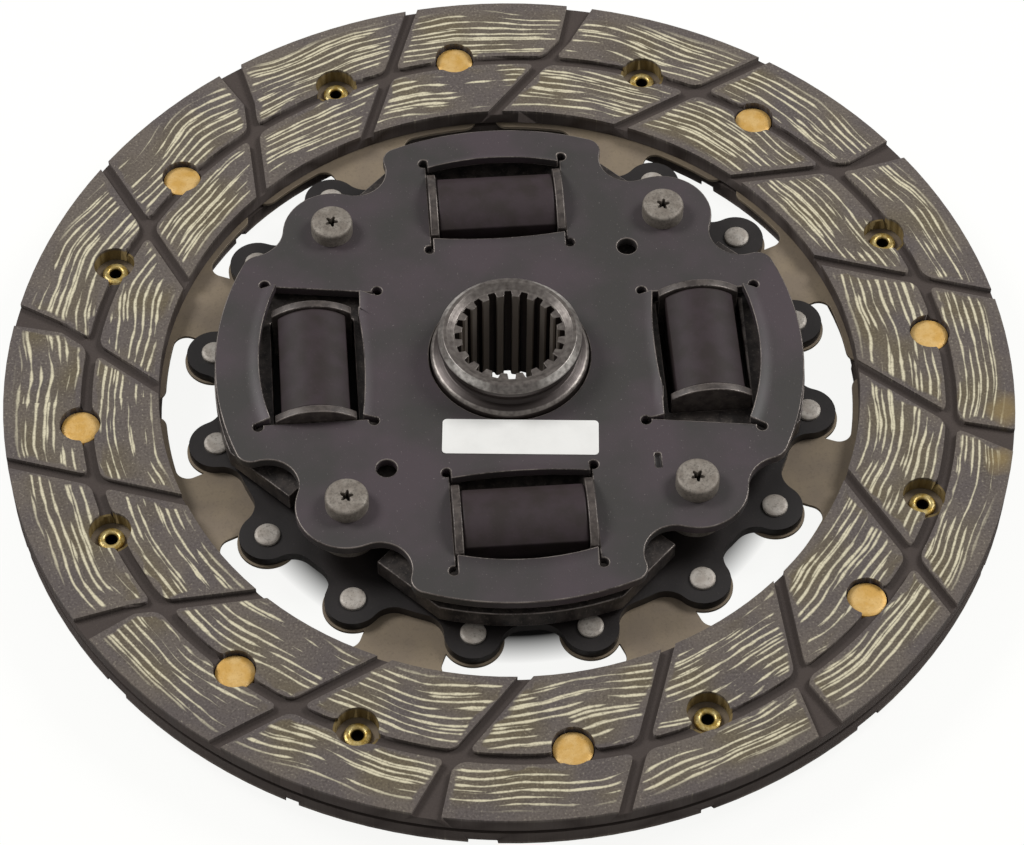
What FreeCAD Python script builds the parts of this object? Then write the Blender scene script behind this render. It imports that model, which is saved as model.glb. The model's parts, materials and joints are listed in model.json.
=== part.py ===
import FreeCAD, Part
import math
import os
import re
import Sketcher

# A car's clutch driven plate, 190 mm across, standing on the rear end of its hub.
# Origin: centre of the hub's rear end. +Z runs along the shaft, towards the side with the label.
# Angles are in degrees, counter-clockwise from +X, seen from the front.

os.makedirs("parts", exist_ok=True)
doc = FreeCAD.newDocument("clutch_disc")
sheet = doc.addObject("Spreadsheet::Sheet", "sizes")

# Driving dimensions in millimetres and degrees
size = {
    # friction facings
    "hub_below": 3.9,
    "facing_width": 29.0,
    "facing_thick": 3.5,
    "facing_gap": 1.0,
    "groove_depth": 1.1,
    "groove_width": 2.2,
    "ring_groove_set": 15.2,
    "ring_groove_shift": 1.7,
    "straight_groove_angle": 8.0,
    "straight_groove_course": 161.9,
    "bent_groove_angle": 32.2,
    "bent_groove_first_course": 202.0,
    "bent_groove_first_run": 9.8,
    "bent_groove_course": 184.2,
    "groove_mouth": 5.6,
    "groove_count": 8,
    "straight_groove_lead": 6.0,
    "straight_groove_run": 39.2,
    "mouth_groove_lead": 1.5,
    "bent_groove_lead": 0.6,
    "bent_groove_run": 27.6,
    # rivets of the facings
    "facing_rivet_set": 14.8,
    "facing_rivet_angle": 3.75,
    "facing_rivet_pitch": 17.75,
    "facing_rivet_head": 3.65,
    "facing_rivet_head_thick": 0.8,
    "facing_rivet_shank": 2.1,
    "facing_rivet_bore": 1.1,
    "facing_rivet_tail": 2.5,
    "facing_rivet_tail_thick": 0.9,
    "facing_seat_thick": 1.1,
    "facing_recess_room": 0.2,
    "facing_clearance_hole": 3.9,
    # cushion segments
    "blade_thick": 0.7,
    "blade_inset": 1.6,
    "blade_overhang": 1.1,
    "blade_half_angle": 20.8,
    "neck_width": 15.6,
    "neck_corner": 2.4,
    "neck_overlap": 3.0,
    "segment_reach": 9.6,
    "root_depth": 5.4,
    "root_lobe": 5.65,
    "root_web": 4.3,
    # plates
    "segment_rivet_set": 2.2,
    "segment_rivet_spread": 11.7,
    "segment_rivet_head": 2.35,
    "segment_rivet_head_thick": 0.75,
    "segment_rivet_shank": 1.6,
    "segment_rivet_chamfer": 0.3,
    "plate_thick": 2.0,
    "plate_bore_room": 0.3,
    "carrier_step": 0.8,
    "carrier_lobe": 5.2,
    "carrier_corner": 4.4,
    "cover_rim": 5.5,
    "cover_scallop_set": 1.65,
    "cover_scallop_angle": 15.0,
    "long_scallop_set": 3.05,
    "long_scallop_angle": 10.2,
    "pin_lobe": 9.45,
    "cover_window_corner": 3.0,
    "cover_long_corner": 4.0,
    "plate_space": 6.65,
    # windows and their raised wings
    "window_half": 13.0,
    "window_set": 4.0,
    "window_height": 21.35,
    "window_relief": 0.95,
    "window_relief_half": 13.4,
    "window_inner_margin": 0.4,
    "window_outer_margin": 0.1,
    "wing_half": 12.7,
    "wing_overlap": 0.7,
    "wing_room": 5.0,
    "outer_wing_set": 2.15,
    "outer_wing_rise": 1.7,
    "outer_wing_lean": 2.8,
    "inner_wing_set": 1.15,
    "inner_wing_rise": 1.1,
    "inner_wing_lean": 2.3,
    "inner_wing_bow": 100.0,
    "free_travel": 7.6,
    "free_wing_set": 1.35,
    "free_wing_start": 6.3,
    "free_wing_meet": 10.3,
    "position_hole": 1.9,
    "position_hole_set": 10.7,
    "dent_set": 8.8,
    "dent_angle": -45.6,
    "dent_length": 3.2,
    "dent_width": 1.1,
    "dent_depth": 0.7,
    # stop pins
    "pin_set": 10.0,
    "pin_head": 3.97,
    "pin_head_thick": 3.0,
    "pin_head_round": 0.5,
    "pin_shank": 3.2,
    "pin_spacer": 5.7,
    "pin_dimple": 1.2,
    # torsion blocks and their seats
    "block_set": 10.6,
    "block_width": 12.7,
    "block_rise": 8.1,
    "block_arch": 9.3,
    "block_edge": 0.6,
    "seat_rise": 8.45,
    "seat_arch": 11.8,
    "seat_width": 15.0,
    "seat_thick": 1.6,
    "seat_clearance": 0.05,
    # hub and its flange
    "flange_thick": 4.0,
    "flange_reach": 0.3,
    "flange_flat_set": 4.0,
    "flange_bore_room": 1.7,
    "twist_each_way": 6.0,
    "stop_clearance": 0.4,
    "running_clearance": 0.3,
    "hub_boss_top": 7.0,
    "hub_boss_step": 1.5,
    "hub_wall": 4.6,
    "hub_shoulder_rise": 1.5,
    "hub_neck_depth": 1.1,
    "hub_neck_rise": 1.9,
    "hub_neck_flare_rise": 0.4,
    "hub_neck_foot_rise": 0.95,
    "hub_neck_flare": 0.5,
    "hub_shoulder_round": 0.5,
    "hub_collar_step": 1.4,
    "hub_collar_flare": 1.4,
    "hub_collar_thick": 2.2,
    "hub_collar_chamfer": 1.0,
    "spline_minor": 8.95,
    "spline_depth": 1.25,
    "spline_turn": -2.0,
    "spline_count": 20,
    "spline_root_width": 1.25,
    "spline_mouth_width": 1.75,
    "bore_chamfer": 0.6,
    "countersink_depth": 0.84,
    "countersink_lip": 0.25,
    "countersink_flare": 1.25,
    # friction rings and disc spring
    "ring_width": 6.4,
    "ring_room": 0.8,
    "front_ring_thick": 0.8,
    "spring_thick": 0.3,
    # label
    "label_length": 28.7,
    "label_width": 7.7,
    "label_corner": 0.8,
    "label_thick": 0.15,
    "label_gap": 0.4,
    "label_offset": 0.6,
    "label_turn": -4.65,
    # reach of the cutting tools past an edge, and the smallest radius of a turned section
    "tool_room": 1.0,
    "near_axis": 0.001,
}

for row, (alias, number) in enumerate(size.items(), start=1):
    sheet.set(f"A{row}", alias)
    sheet.set(f"B{row}", str(number))
    sheet.setAlias(f"B{row}", alias)
doc.recompute()

# Heights and positions that follow from the driving dimensions
derived = {
    "spline_major": "(spline_minor + spline_depth)",
    "hub_body": "(spline_major + hub_wall)",
    "hub_boss": "(hub_body - hub_boss_step)",
    "hub_collar": "(hub_body - hub_collar_step)",
    "hub_neck": "(hub_collar - hub_neck_depth)",
    "plate_bore": "(hub_body + plate_bore_room)",
    "flange_bore": "(hub_body + flange_bore_room)",
    "ring_inner": "(hub_body + ring_room)",
    "ring_outer": "(ring_inner + ring_width)",
    "label_radius": "(hub_body + label_gap + label_width / 2)",
    "window_inner": "(ring_outer + window_set)",
    "window_outer": "(window_inner + window_height)",
    "inner_wing_root": "(window_inner - inner_wing_set)",
    "outer_wing_root": "(window_outer + outer_wing_set)",
    "block_circle": "(window_inner + block_set)",
    "cover_outer": "(outer_wing_root + cover_rim)",
    "carrier_body": "(cover_outer - carrier_step)",
    "flange_outer": "(cover_outer + flange_reach)",
    "pin_circle": "(cover_outer - pin_set)",
    "flange_flat": "(pin_circle + flange_flat_set)",
    "position_hole_circle": "(pin_circle - position_hole_set)",
    "cover_scallop_circle": "(cover_outer - cover_scallop_set)",
    "long_scallop_circle": "(cover_outer + long_scallop_set)",
    "segment_rivet_circle": "(carrier_body + segment_rivet_set)",
    "root_inner": "(segment_rivet_circle - root_depth)",
    "facing_inner": "(segment_rivet_circle + segment_reach)",
    "facing_outer": "(facing_inner + facing_width)",
    "facing_rivet_circle": "(facing_inner + facing_rivet_set)",
    "ring_groove_radius": "(facing_inner + ring_groove_set)",
    "blade_inner": "(facing_inner - blade_overhang)",
    "blade_outer": "(facing_outer - blade_inset)",
    "rear_facing_top": "(hub_below + facing_thick)",
    "front_facing_bottom": "(rear_facing_top + facing_gap)",
    "blade_bottom": "(rear_facing_top + (facing_gap - blade_thick) / 2)",
    "carrier_bottom": "(blade_bottom + blade_thick)",
    "carrier_top": "(carrier_bottom + plate_thick)",
    "cover_bottom": "(carrier_top + plate_space)",
    "cover_top": "(cover_bottom + plate_thick)",
    "damper_mid": "(carrier_top + plate_space / 2)",
    "flange_bottom": "(damper_mid - flange_thick / 2)",
    "flange_top": "(damper_mid + flange_thick / 2)",
    "hub_shoulder_top": "(cover_top + hub_shoulder_rise)",
    "hub_length": "(hub_shoulder_top + hub_neck_rise + hub_collar_flare + hub_collar_thick)",
    "block_half": "(window_half - seat_clearance - seat_thick)",
}

damper_angles = [0, 90, 180, 270]
long_windows = [0, 180]
pin_angles = [45, 135, 225, 315]
pins_before_long_windows = [135, 315]
position_hole_angles = [45, 225]
sector_angles = [45 * step for step in range(8)]
half_sector = 22.5
segment_angles = [half_sector + angle for angle in sector_angles]
near = 0.05


def full(text):
    """Write out a formula with the sheet's own names."""
    text = str(text)
    while any(re.search(rf"\b{name}\b", text) for name in derived):
        for name, formula in derived.items():
            text = re.sub(rf"\b{name}\b", formula, text)
    return re.sub(r"\b[a-z_]+\b", lambda word: f"sizes.{word[0]}" if word[0] in size else word[0], text)


def bind(thing, **formulas):
    for prop, text in formulas.items():
        thing.setExpression(prop.replace("__", "."), full(text))
    return thing


def label(thing, name):
    thing.Label = name
    return thing


def polar(radius, angle):
    return f"({radius}) * cos({angle})", f"({radius}) * sin({angle})"


def cylinder(name, radius, height, x="0", y="0", z="0"):
    solid = doc.addObject("Part::Cylinder", name)
    bind(solid, Radius=radius, Height=height)
    return bind(solid, Placement__Base__x=x, Placement__Base__y=y, Placement__Base__z=z)


def radial_box(name, angle, inner, outer, half, bottom, height, clockwise=None):
    """A box that lies along a radius, half wide to each side of it, or other on its clockwise side."""
    clockwise = clockwise or half
    box = doc.addObject("Part::Box", name)
    box.Placement = FreeCAD.Placement(FreeCAD.Vector(), FreeCAD.Rotation(FreeCAD.Vector(0, 0, 1), angle))
    x = f"({inner}) * cos({angle}) + ({clockwise}) * sin({angle})"
    y = f"({inner}) * sin({angle}) - ({clockwise}) * cos({angle})"
    bind(box, Length=f"({outer}) - ({inner})", Width=f"({half}) + ({clockwise})", Height=height)
    return bind(box, Placement__Base__x=x, Placement__Base__y=y, Placement__Base__z=bottom)


def join(name, pieces):
    group = doc.addObject("Part::MultiFuse", name)
    group.Shapes = pieces
    group.Refine = True
    return group


def cut(name, base, tool):
    result = doc.addObject("Part::Cut", name)
    result.Base = base
    result.Tool = tool
    result.Refine = True
    return result


def common(name, pieces):
    result = doc.addObject("Part::MultiCommon", name)
    result.Shapes = pieces
    return result


def round_edges(name, base, radius, wanted):
    """Round the edges of base that wanted picks out."""
    doc.recompute()
    picked = [index for index, edge in enumerate(base.Shape.Edges, start=1) if wanted(edge)]
    result = doc.addObject("Part::Fillet", name)
    result.Base = base
    result.Edges = [(index, radius, radius) for index in picked]
    return result


def upright(edge):
    """Whether an edge runs along Z."""
    first, last = edge.Vertexes[0].Point, edge.Vertexes[-1].Point
    return abs(first.z - last.z) > near and math.hypot(first.x - last.x, first.y - last.y) < 1e-6


def reach(edge):
    """How far an edge's middle lies from the axis."""
    middle = edge.CenterOfMass
    return math.hypot(middle.x, middle.y)


def polygon(sketch, name, points):
    """A closed outline in a sketch, with each corner bound to its own two formulas."""
    rough = [FreeCAD.Vector(10 + 5 * math.cos(2 * math.pi * k / len(points)),
                            10 + 5 * math.sin(2 * math.pi * k / len(points)), 0) for k in range(len(points))]
    first = sketch.GeometryCount
    for start, end in zip(rough, rough[1:] + rough[:1]):
        sketch.addGeometry(Part.LineSegment(start, end), False)
    count = len(points)
    for k in range(count):
        sketch.addConstraint(Sketcher.Constraint("Coincident", first + k, 2, first + (k + 1) % count, 1))
    for k, (x, y) in enumerate(points):
        across = sketch.addConstraint(Sketcher.Constraint("DistanceX", -1, 1, first + k, 1, rough[k].x))
        up = sketch.addConstraint(Sketcher.Constraint("DistanceY", -1, 1, first + k, 1, rough[k].y))
        sketch.renameConstraint(across, f"{name}_x{k}")
        sketch.renameConstraint(up, f"{name}_y{k}")
        sketch.setExpression(f"Constraints.{name}_x{k}", full(x))
        sketch.setExpression(f"Constraints.{name}_y{k}", full(y))


def circle(sketch, name, radius, x="0", y="0"):
    index = sketch.addGeometry(Part.Circle(FreeCAD.Vector(1, 1, 0), FreeCAD.Vector(0, 0, 1), 5), False)
    for kind, formula in (("DistanceX", x), ("DistanceY", y)):
        place = sketch.addConstraint(Sketcher.Constraint(kind, -1, 1, index, 3, 1.0))
        sketch.renameConstraint(place, f"{name}_{kind[-1].lower()}")
        sketch.setExpression(f"Constraints.{name}_{kind[-1].lower()}", full(formula))
    across = sketch.addConstraint(Sketcher.Constraint("Radius", index, 5.0))
    sketch.renameConstraint(across, f"{name}_radius")
    sketch.setExpression(f"Constraints.{name}_radius", full(radius))


def new_body(name):
    return label(doc.addObject("PartDesign::Body", name), name)


def body_sketch(body, name, plane="XY_Plane", height="0"):
    sketch = body.newObject("Sketcher::SketchObject", name)
    origin = [part for part in body.Origin.OriginFeatures if part.Role == plane][0]
    sketch.AttachmentSupport = [(origin, "")]
    sketch.MapMode = "FlatFace"
    if height != "0":
        sketch.setExpression("AttachmentOffset.Base.z", full(height))
    return sketch


def pad(body, sketch, length):
    feature = body.newObject("PartDesign::Pad", sketch.Name + "_pad")
    feature.Profile = sketch
    return bind(feature, Length=length)


def pocket(body, sketch, length):
    feature = body.newObject("PartDesign::Pocket", sketch.Name + "_pocket")
    feature.Profile = sketch
    return bind(feature, Length=length)


def repeat(body, feature, sketch, count):
    """Repeat a feature round the axis of its sketch."""
    pattern = body.newObject("PartDesign::PolarPattern", feature.Name + "_pattern")
    pattern.Originals = [feature]
    pattern.Axis = (sketch, ["N_Axis"])
    pattern.Angle = 360
    bind(pattern, Occurrences=count)
    body.Tip = pattern
    return pattern


def turned(name, points):
    """A body turned round Z from its half section."""
    body = new_body(name)
    sketch = body_sketch(body, name + "_section", "XZ_Plane")
    polygon(sketch, "corner", points)
    feature = body.newObject("PartDesign::Revolution", name + "_turning")
    feature.Profile = sketch
    feature.ReferenceAxis = (sketch, ["V_Axis"])
    feature.Angle = 360
    return body


def ring_of_copies(name, master, angles):
    """Separate copies of one turned piece, round the disc's axis."""
    doc.recompute()
    axis = FreeCAD.Vector(0, 0, 1)
    copies = []
    for angle in angles:
        copy = master.Shape.copy()
        copy.rotate(FreeCAD.Vector(), axis, angle)
        copies.append(copy)
    group = doc.addObject("Part::Feature", name)
    group.Shape = Part.makeCompound(copies)
    return label(group, name)


# Friction facings: one moulding used twice, the rear one turned over
def strip(course, start_x, start_y, before, after, width, mouth=None):
    """Corners of a straight strip that heads along course from a start point."""
    along, across = (f"cos({course})", f"sin({course})"), (f"-sin({course})", f"cos({course})")
    corners = []
    for run, side in ((f"-({before})", -1), (after, -1), (after, 1), (f"-({before})", 1)):
        half = f"{side} * ({mouth if mouth and run.startswith('-') else width}) / 2"
        x = f"{start_x} + ({run}) * {along[0]} + {half} * ({across[0]})"
        y = f"{start_y} + ({run}) * {along[1]} + {half} * {across[1]}"
        corners.append((x, y))
    return corners


def make_facing(name):
    body = new_body(name)
    ring = body_sketch(body, name + "_ring")
    circle(ring, "outer", "facing_outer")
    circle(ring, "inner", "facing_inner")
    pad(body, ring, "facing_thick")

    ring_groove = body_sketch(body, name + "_ring_groove", height="facing_thick")
    for edge, side in (("outer", "+"), ("inner", "-")):
        radius = f"ring_groove_radius {side} groove_width / 2"
        circle(ring_groove, edge, radius, "ring_groove_shift", "-ring_groove_shift")
    pocket(body, ring_groove, "groove_depth")

    rim_x, rim_y = polar("facing_outer", "straight_groove_angle")
    bent_x, bent_y = polar("facing_outer", "bent_groove_angle")
    knee_x = f"{bent_x} + bent_groove_first_run * cos(bent_groove_first_course)"
    knee_y = f"{bent_y} + bent_groove_first_run * sin(bent_groove_first_course)"
    grooves = {
        "straight_groove": strip("straight_groove_course", rim_x, rim_y, "straight_groove_lead",
                                 "straight_groove_run", "groove_width"),
        "mouth_groove": strip("bent_groove_first_course", bent_x, bent_y, "mouth_groove_lead",
                              "bent_groove_first_run", "groove_width", "groove_mouth"),
        "bent_groove": strip("bent_groove_course", knee_x, knee_y, "bent_groove_lead", "bent_groove_run",
                             "groove_width"),
    }
    for groove, corners in grooves.items():
        sketch = body_sketch(body, f"{name}_{groove}", height="facing_thick")
        polygon(sketch, "corner", corners)
        repeat(body, pocket(body, sketch, "groove_depth"), sketch, "groove_count")

    head_x, head_y = polar("facing_rivet_circle", "facing_rivet_angle")
    tail_x, tail_y = polar("facing_rivet_circle", "facing_rivet_angle + facing_rivet_pitch")
    holes = {
        "head_recess": ("facing_rivet_head + facing_recess_room", head_x, head_y,
                        "facing_thick - facing_seat_thick"),
        "rivet_hole": ("facing_rivet_shank", head_x, head_y, "facing_thick + facing_gap"),
        "tail_hole": ("facing_clearance_hole", tail_x, tail_y, "facing_thick + facing_gap"),
    }
    for hole, (radius, x, y, depth) in holes.items():
        sketch = body_sketch(body, f"{name}_{hole}", height="facing_thick")
        circle(sketch, "hole", radius, x, y)
        repeat(body, pocket(body, sketch, depth), sketch, "groove_count")
    return body


front_facing = make_facing("front_facing")
bind(front_facing, Placement__Base__z="front_facing_bottom")
rear_facing = make_facing("rear_facing")
turn_over = math.radians(size["facing_rivet_angle"] + size["facing_rivet_pitch"] / 2)
rear_facing.Placement = FreeCAD.Placement(
    FreeCAD.Vector(),
    FreeCAD.Rotation(FreeCAD.Vector(math.cos(turn_over), math.sin(turn_over), 0), 180))
bind(rear_facing, Placement__Base__z="rear_facing_top")


# Facing rivets: flat head, hollow shank and rolled tail
def facing_rivet(name):
    section = [
        ("near_axis", "facing_seat_thick + facing_rivet_head_thick"),
        ("facing_rivet_head", "facing_seat_thick + facing_rivet_head_thick"),
        ("facing_rivet_head", "facing_seat_thick"),
        ("facing_rivet_shank", "facing_seat_thick"),
        ("facing_rivet_shank", "-(facing_gap + blade_thick) / 2"),
        ("facing_rivet_tail", "-(facing_gap + blade_thick) / 2"),
        ("facing_rivet_tail", "-(facing_gap + blade_thick) / 2 - facing_rivet_tail_thick"),
        ("facing_rivet_bore", "-(facing_gap + blade_thick) / 2 - facing_rivet_tail_thick"),
        ("facing_rivet_bore", "0"),
        ("near_axis", "0"),
    ]
    return turned(name, section)


front_rivet = facing_rivet("front_rivet_pattern")
x, y = polar("facing_rivet_circle", "facing_rivet_angle")
bind(front_rivet, Placement__Base__x=x, Placement__Base__y=y, Placement__Base__z="front_facing_bottom")
front_facing_rivets = ring_of_copies("front_facing_rivets", front_rivet, sector_angles)
rear_rivet = facing_rivet("rear_rivet_pattern")
rear_rivet.Placement = FreeCAD.Placement(FreeCAD.Vector(), FreeCAD.Rotation(FreeCAD.Vector(1, 0, 0), 180))
x, y = polar("facing_rivet_circle", "facing_rivet_angle + facing_rivet_pitch")
bind(rear_rivet, Placement__Base__x=x, Placement__Base__y=y, Placement__Base__z="rear_facing_top")
rear_facing_rivets = ring_of_copies("rear_facing_rivets", rear_rivet, sector_angles)


# Cushion segments: a fan between the facings, a neck, and a root with two rivet lobes
def cushion_segment(name, angle):
    fan = doc.addObject("Part::Cylinder", name + "_fan")
    fan.Placement = FreeCAD.Placement(FreeCAD.Vector(), FreeCAD.Rotation(FreeCAD.Vector(0, 0, 1), angle))
    bind(fan, Radius="blade_outer", Height="blade_thick", Angle="2 * blade_half_angle")
    bind(fan, Placement__Base__z="blade_bottom")
    fan.setExpression("Placement.Rotation.Angle", full(f"{angle} - blade_half_angle"))
    middle = cylinder(name + "_middle", "blade_inner", "blade_thick", z="blade_bottom")
    fan = cut(name + "_fan_ring", fan, middle)
    neck = radial_box(name + "_neck", angle, "root_inner", "blade_inner + neck_overlap", "neck_width / 2",
                      "blade_bottom", "blade_thick")
    lobes = []
    holes = []
    for side in (-1, 1):
        x, y = polar("segment_rivet_circle", f"{angle} + {side} * segment_rivet_spread")
        place = (x, y, "blade_bottom")
        lobes.append(cylinder(f"{name}_lobe_{side + 2}", "root_lobe", "blade_thick", *place))
        holes.append(cylinder(f"{name}_hole_{side + 2}", "segment_rivet_shank", "blade_thick", *place))
    web_outer = "segment_rivet_circle * cos(segment_rivet_spread) + root_web"
    web = radial_box(name + "_web", angle, "root_inner", web_outer,
                     "segment_rivet_circle * sin(segment_rivet_spread)", "blade_bottom", "blade_thick")
    blank = join(name + "_blank", [fan, neck, web] + lobes)
    blank = round_edges(name + "_rounded", blank, size["neck_corner"],
                        lambda edge: upright(edge) and abs(reach(edge) - middle.Radius.Value) < near)
    for which, start in (("head", "facing_rivet_angle"), ("tail", "facing_rivet_angle + facing_rivet_pitch")):
        x, y = polar("facing_rivet_circle", f"{angle - half_sector} + {start}")
        holes.append(cylinder(f"{name}_{which}", "facing_rivet_shank", "blade_thick", x, y, "blade_bottom"))
    return label(cut(name, blank, join(name + "_holes", holes)), name)


segments = [cushion_segment(f"cushion_segment_{k}", angle) for k, angle in enumerate(segment_angles, start=1)]


# Windows of both plates, and the wings pressed out along their long sides
def wing(name, angle, face, away, root, lean, rise, centre, back, ends):
    """A pressed-out edge: a leaning section turned round centre and trimmed to its ends."""
    lip = f"({root}) - ({lean})"
    up, down = ("+", "-") if away > 0 else ("-", "+")
    section = [
        (f"({root}) + wing_overlap", face),
        (root, face),
        (lip, f"{face} {up} {rise}"),
        (lip, f"{face} {up} {rise} {down} plate_thick"),
        (root, f"{face} {down} plate_thick"),
        (f"({root}) + wing_overlap", f"{face} {down} plate_thick"),
    ]
    sketch = doc.addObject("Sketcher::SketchObject", name + "_section")
    facing_way = angle + (180 if back else 0)
    spin = FreeCAD.Rotation(FreeCAD.Vector(0, 0, 1), facing_way)
    stand = FreeCAD.Rotation(FreeCAD.Vector(1, 0, 0), 90)
    sketch.Placement = FreeCAD.Placement(FreeCAD.Vector(), spin.multiply(stand))
    polygon(sketch, "corner", section)
    x, y = polar(centre, angle)
    bind(sketch, Placement__Base__x=x, Placement__Base__y=y)
    bend = doc.addObject("Part::Revolution", name + "_bend")
    bend.Source = sketch
    bend.Axis = FreeCAD.Vector(0, 0, 1)
    bend.Symmetric = True
    bend.Solid = True
    bind(bend, Base__x=x, Base__y=y, Angle=f"2 * asin((wing_half + wing_overlap) / ({root}))")
    trim = radial_box(name + "_trim", angle, "window_inner - wing_room", "window_outer + wing_room", ends[1],
                      f"{face} - wing_room", "2 * wing_room", ends[0])
    return common(name, [bend, trim])


def window_tools(name, angle, bottom, inner_root, sides):
    """The opening and its corner reliefs at the given ends."""
    outer = "outer_wing_root + window_outer_margin"
    opening = radial_box(f"{name}_opening", angle, f"{inner_root} + window_inner_margin", outer,
                         "window_half", bottom, "plate_thick")
    limit = cylinder(f"{name}_limit", outer, "plate_thick", z=bottom)
    tools = [common(f"{name}_trimmed", [opening, limit])]
    for k, radius in enumerate(("window_inner", "window_outer")):
        for side in sides:
            x = f"{radius} * cos({angle}) - {side} * window_relief_half * sin({angle})"
            y = f"{radius} * sin({angle}) + {side} * window_relief_half * cos({angle})"
            relief = f"{name}_relief_{k}_{side + 2}"
            tools.append(cylinder(relief, "window_relief", "plate_thick", x, y, bottom))
    return tools


def finish_plate(name, blank, bottom, face, away):
    """Cut windows, bore and pin holes in a plate blank, and add its wings."""
    tools = [cylinder(name + "_bore", "plate_bore", "plate_thick", z=bottom)]
    wings = []
    for k, angle in enumerate(damper_angles, start=1):
        whole = ("wing_half", "wing_half")
        stretches = [(angle, "inner_wing_root", (-1, 1), whole)]
        if angle in long_windows:
            free_root = "(inner_wing_root + free_wing_set)"
            stretches = [(angle, "inner_wing_root", (1,), ("free_wing_meet", "wing_half")),
                         (angle - size["free_travel"], free_root, (-1,), ("wing_half", "-free_wing_start"))]
        for step, (turn, root, sides, ends) in enumerate(stretches):
            tools += window_tools(f"{name}_window_{k}_{step}", turn, bottom, root, sides)
            wings.append(wing(f"{name}_outer_wing_{k}_{step}", turn, face, away, "outer_wing_root",
                              "outer_wing_lean", "outer_wing_rise", "0", False, whole))
            wings.append(wing(f"{name}_inner_wing_{k}_{step}", turn, face, away, "inner_wing_bow",
                              "inner_wing_lean", "inner_wing_rise", f"{root} + inner_wing_bow", True, ends))
    for k, angle in enumerate(pin_angles, start=1):
        x, y = polar("pin_circle", angle)
        tools.append(cylinder(f"{name}_pin_hole_{k}", "pin_shank", "plate_thick", x, y, bottom))
    for k, angle in enumerate(position_hole_angles, start=1):
        x, y = polar("position_hole_circle", angle)
        tools.append(cylinder(f"{name}_position_hole_{k}", "position_hole", "plate_thick", x, y, bottom))
    opened = cut(name + "_opened", blank, join(name + "_tools", tools))
    return label(join(name, [opened] + wings), name)


# Carrier plate: sixteen rivet lobes round its edge
lobes = [cylinder("carrier_disc", "carrier_body", "plate_thick", z="carrier_bottom")]
rivet_holes = []
for k, angle in enumerate(segment_angles):
    for side in (-1, 1):
        x, y = polar("segment_rivet_circle", f"{angle} + {side} * segment_rivet_spread")
        place = (x, y, "carrier_bottom")
        lobes.append(cylinder(f"carrier_lobe_{k}_{side + 2}", "carrier_lobe", "plate_thick", *place))
        hole = f"carrier_hole_{k}_{side + 2}"
        rivet_holes.append(cylinder(hole, "segment_rivet_shank", "plate_thick", *place))
carrier_blank = round_edges("carrier_rounded", join("carrier_blank", lobes), size["carrier_corner"],
                            lambda edge: upright(edge) and abs(reach(edge) - lobes[0].Radius.Value) < near)
carrier_blank = cut("carrier_drilled", carrier_blank, join("carrier_holes", rivet_holes))
carrier_plate = finish_plate("carrier_plate", carrier_blank, "carrier_bottom", "carrier_bottom", -1)

# Cover plate: a round blank with a lobe round each stop pin and a scallop on each side of the lobe
cover_disc = cylinder("cover_disc", "cover_outer", "plate_thick", z="cover_bottom")
cover_tools = []
for k, angle in enumerate(pin_angles):
    x, y = polar("pin_circle", angle)
    for side in (-1, 1):
        name = f"cover_scallop_{k}_{side + 2}"
        long_side = side > 0 and angle in pins_before_long_windows
        kind = "long" if long_side else "cover"
        far, turn = f"{kind}_scallop_circle", f"{kind}_scallop_angle"
        apart = f"sqrt(pin_circle ^ 2 + {far} ^ 2 - 2 * pin_circle * {far} * cos({turn}))"
        touch = (f"sqrt(pin_circle ^ 2 + pin_lobe ^ 2 + 2 * pin_circle * pin_lobe"
                 f" * ({far} * cos({turn}) - pin_circle) / {apart})")
        place = (*polar(far, f"{angle} + {side} * {turn}"), "cover_bottom")
        cover_tools.append(cylinder(name, f"{apart} - pin_lobe", "plate_thick", *place))
        sector = doc.addObject("Part::Cylinder", name + "_sector")
        spin = FreeCAD.Rotation(FreeCAD.Vector(0, 0, 1), angle)
        sector.Placement = FreeCAD.Placement(FreeCAD.Vector(), spin)
        bind(sector, Radius="cover_outer + tool_room", Height="plate_thick", Angle=turn)
        bind(sector, Placement__Base__z="cover_bottom")
        first = f"{angle}" if side > 0 else f"{angle} - {turn}"
        sector.setExpression("Placement.Rotation.Angle", full(first))
        kept = [cylinder(name + "_lobe", "pin_lobe", "plate_thick", x, y, "cover_bottom"),
                cylinder(name + "_core", touch, "plate_thick", z="cover_bottom")]
        cover_tools.append(cut(name + "_shoulder", sector, join(name + "_kept", kept)))
cover_blank = cut("cover_scalloped", cover_disc, join("cover_tools", cover_tools))


def on_cover_rim(edge):
    return upright(edge) and abs(reach(edge) - cover_disc.Radius.Value) < near


def on_long_side(edge):
    """Whether a rim edge lies just before a long window, counter-clockwise of its stop pin."""
    middle = edge.CenterOfMass
    angle = math.degrees(math.atan2(middle.y, middle.x)) % 360
    nearest = min(pin_angles, key=lambda pin: abs(pin - angle))
    return angle > nearest and nearest in pins_before_long_windows


cover_blank = round_edges("cover_corners_rounded", cover_blank, size["cover_window_corner"],
                          lambda edge: on_cover_rim(edge) and not on_long_side(edge))
cover_blank = round_edges("cover_long_corners_rounded", cover_blank, size["cover_long_corner"],
                          lambda edge: on_cover_rim(edge) and on_long_side(edge))
dent = doc.addObject("Part::Box", "dent")
bind(dent, Length="dent_width", Width="dent_length", Height="dent_depth")
bind(dent, Placement__Base__z="cover_top - dent_depth")
x, y = polar("pin_circle - dent_set", "dent_angle")
bind(dent, Placement__Base__x=f"{x} - dent_width / 2", Placement__Base__y=f"{y} - dent_length / 2")
cover_blank = cut("cover_dented", cover_blank, dent)
cover_plate = finish_plate("cover_plate", cover_blank, "cover_bottom", "cover_top", 1)

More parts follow.
